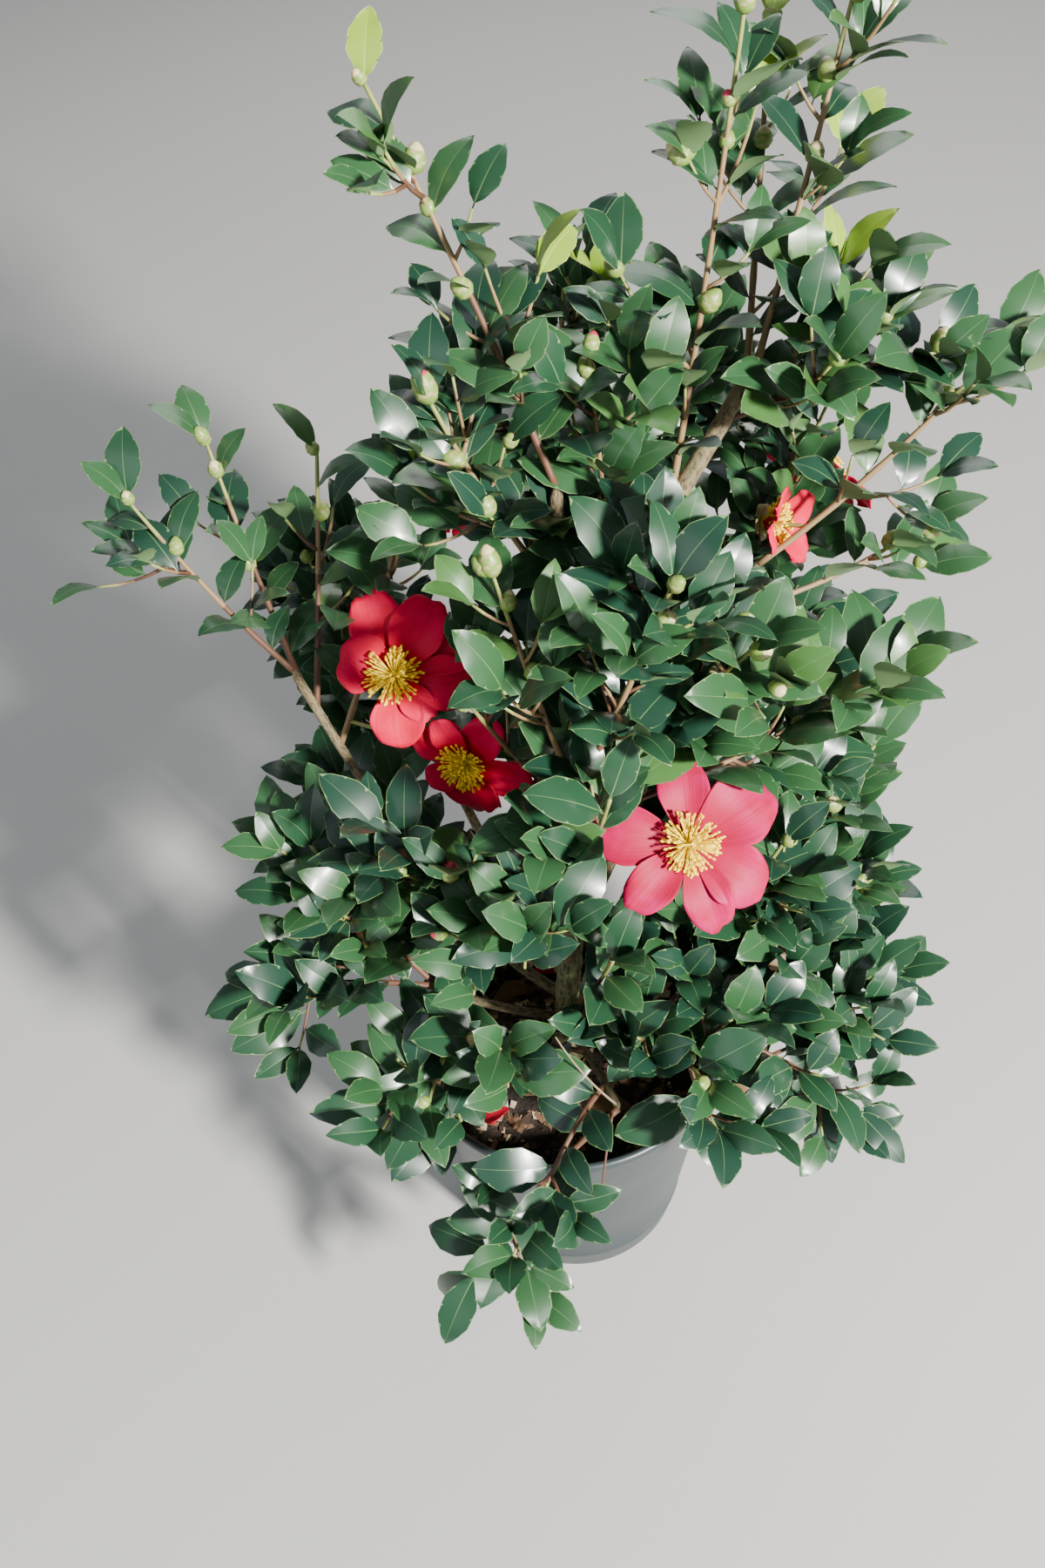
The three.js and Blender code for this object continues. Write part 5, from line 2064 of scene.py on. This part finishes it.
@dataclass
class Litter:
    """What has dropped on the potting mix: petals, and dead leaves curled up at their edges.

    Each row gives right, back, turn in degrees and length.
    """

    blossom: Blossom
    soil: Soil
    petals: tuple[tuple[float, float, float, float], ...] = (
        (-14, 57, 20, 13),
        (11, 52, 130, 15),
        (22, 57, 250, 12),
        (9, 35, 80, 16),
        (-34, -28, 200, 14),
    )
    dead_leaves: tuple[tuple[float, float, float, float], ...] = ((-40, 36, 35, 30), (30, -34, 160, 27))
    petal_breadth: float = 0.85
    leaf_breadth: float = 0.5
    above: float = 3.0

    def build(self) -> None:
        """Makes the litter one piece."""
        pile = Pile()
        rows = [(*row, self.petal_breadth) for row in self.petals]
        rows += [(*row, self.leaf_breadth) for row in self.dead_leaves]
        for number, (right, back, turn, size, breadth) in enumerate(rows):
            angle = math.radians(turn)
            draws = np.array([chance(number, 0, 0, k) for k in range(4)])
            facing = unit(np.array([0.25 * math.cos(3 * angle), 0.25 * math.sin(2 * angle), 1.0]))
            along = unit(np.cross(np.cross(facing, [math.cos(angle), math.sin(angle), 0.0]), facing))
            height = float(self.soil.height(np.array(math.hypot(right, back)))) + self.above
            slot = 2 if number >= len(self.petals) else int(number == 1)
            shape = Petal(0, 1.0, breadth, 0.0)
            root = np.array([right, back, height])
            self.blossom.add_petal(pile, root, along, facing, size, shape, draws, slot)
        finishes = [
            PetalFinish("fallen_petal_red", (0.4, 0.004, 0.02), (0.6, 0.02, 0.05)),
            PetalFinish("fallen_petal_faded", (0.6, 0.12, 0.02), (0.7, 0.25, 0.08)),
            PetalFinish("dead_leaf", (0.13, 0.07, 0.03), (0.26, 0.16, 0.08)),
        ]
        pile.write("fallen_petals", finishes, "foliage")


class Region(Enum):
    """The pieces that the leaves are joined into, by the first word of their masses' names."""

    TOP = "top"
    CROWN = "crown"
    RIGHT = "right"
    CENTRE = "centre"
    FRONT = "front"
    LEFT = "left"
    BACK = "back"


@dataclass(frozen=True)
class Lamp:
    """One square soft light: its place in metres, its watts, its side and its tint."""

    name: str
    place: tuple[float, float, float]
    watts: float
    size: float
    tint: Colour


LAMPS = (
    Lamp("key", (1.25, -1.5, 1.45), 225, 0.22, (1.0, 0.97, 0.92)),
    Lamp("fill", (-1.6, -0.9, 1.3), 12, 1.6, (0.88, 0.94, 1.0)),
    Lamp("back", (0.4, 1.8, 1.6), 20, 1.4, (1.0, 0.98, 0.95)),
)


@dataclass
class Studio:
    """A pale floor, soft lights and the camera at the photograph's place, in metres."""

    focal: float = 32
    sensor: float = 36
    near: float = 0.01
    camera_place: tuple[float, float, float] = (-0.012, -0.396, 0.779)
    pitch_down: float = 47.5
    roll: float = -4.9
    middle: tuple[float, float, float] = (0.02, 0.05, 0.3)
    floor_half: float = 6.0
    floor_tone: Colour = (0.43, 0.425, 0.415)
    sky_tone: Colour = (0.75, 0.82, 0.9)
    sky_strength: float = 0.36

    def camera(self) -> None:
        """The camera looks along +Y, tips down by the pitch and rolls about its own line of sight."""
        data = bpy.data.cameras.new("camera")
        data.lens = self.focal
        data.sensor_width = self.sensor
        camera = bpy.data.objects.new("camera", data)
        tilt = Matrix.Rotation(math.radians(90 - self.pitch_down), 4, "X")
        turn = Matrix.Rotation(math.radians(self.roll), 4, "Z")
        camera.matrix_world = Matrix.Translation(self.camera_place) @ tilt @ turn
        data.clip_start = self.near
        bpy.context.scene.collection.objects.link(camera)
        bpy.context.scene.camera = camera

    def lamp(self, spec: Lamp) -> None:
        """Hangs one lamp so that it looks at the middle of the shrub.

        Args:
            spec: The lamp.
        """
        data = bpy.data.lights.new(spec.name, "AREA")
        data.energy, data.size, data.color = spec.watts, spec.size, spec.tint
        lamp = bpy.data.objects.new(spec.name, data)
        away = unit(np.array(spec.place) - np.array(self.middle))
        turn = Matrix([*square_to(away), away]).transposed().to_4x4()
        lamp.matrix_world = Matrix.Translation(spec.place) @ turn
        bpy.context.scene.collection.objects.link(lamp)

    def floor(self) -> None:
        """A plain pale floor under the pot."""
        pile = Pile()
        half = self.floor_half / MM
        corners = np.array([(-half, -half, 0), (half, -half, 0), (half, half, 0), (-half, half, 0)], float)
        pile.add(corners, [np.array([[0, 1, 2, 3]])], [0])
        pile.write("studio_floor", [PlainFinish("studio_floor", self.floor_tone, 0.9)])

    def build(self) -> None:
        """Camera, floor, lights and a pale sky."""
        self.camera()
        self.floor()
        for lamp in LAMPS:
            self.lamp(lamp)
        world = bpy.data.worlds.new("soft_sky")
        world.use_nodes = True
        sky = world.node_tree.nodes["Background"].inputs
        sky["Color"].default_value = (*self.sky_tone, 1)
        sky["Strength"].default_value = self.sky_strength
        bpy.context.scene.world = world


def main() -> None:
    """Builds every piece in order."""
    logging.basicConfig(level=logging.INFO, format="%(name)s: %(message)s")
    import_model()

    Studio().build()
    skeleton = Skeleton()
    pot = Pot()
    pot.build()
    soil = Soil(pot)
    soil.build()
    Limbs(skeleton).build()

    clearings = Clearings(pot, skeleton)
    growth = Growth(skeleton, clearings)
    kept, shoots = growth.grown(growth.shoots())
    Twigs().build(shoots)
    foliage = Foliage()
    names = list(MASSES)
    for region in Region:
        members = [k for k, name in enumerate(names) if name.split("_")[0] == region.value]
        sites = [site for k in members for site in kept[k]]
        foliage.build(f"leaves_{region.value}", sites, [f"foliage_{names[k]}" for k in members])
        log.info("leaves_%s: %d leaves", region.value, len(sites))
    Buds(clearings).build(shoots, growth)
    blossom = Blossom(skeleton)
    blossom.build()
    Litter(blossom, soil).build()


if __name__ == "__main__":
    main()
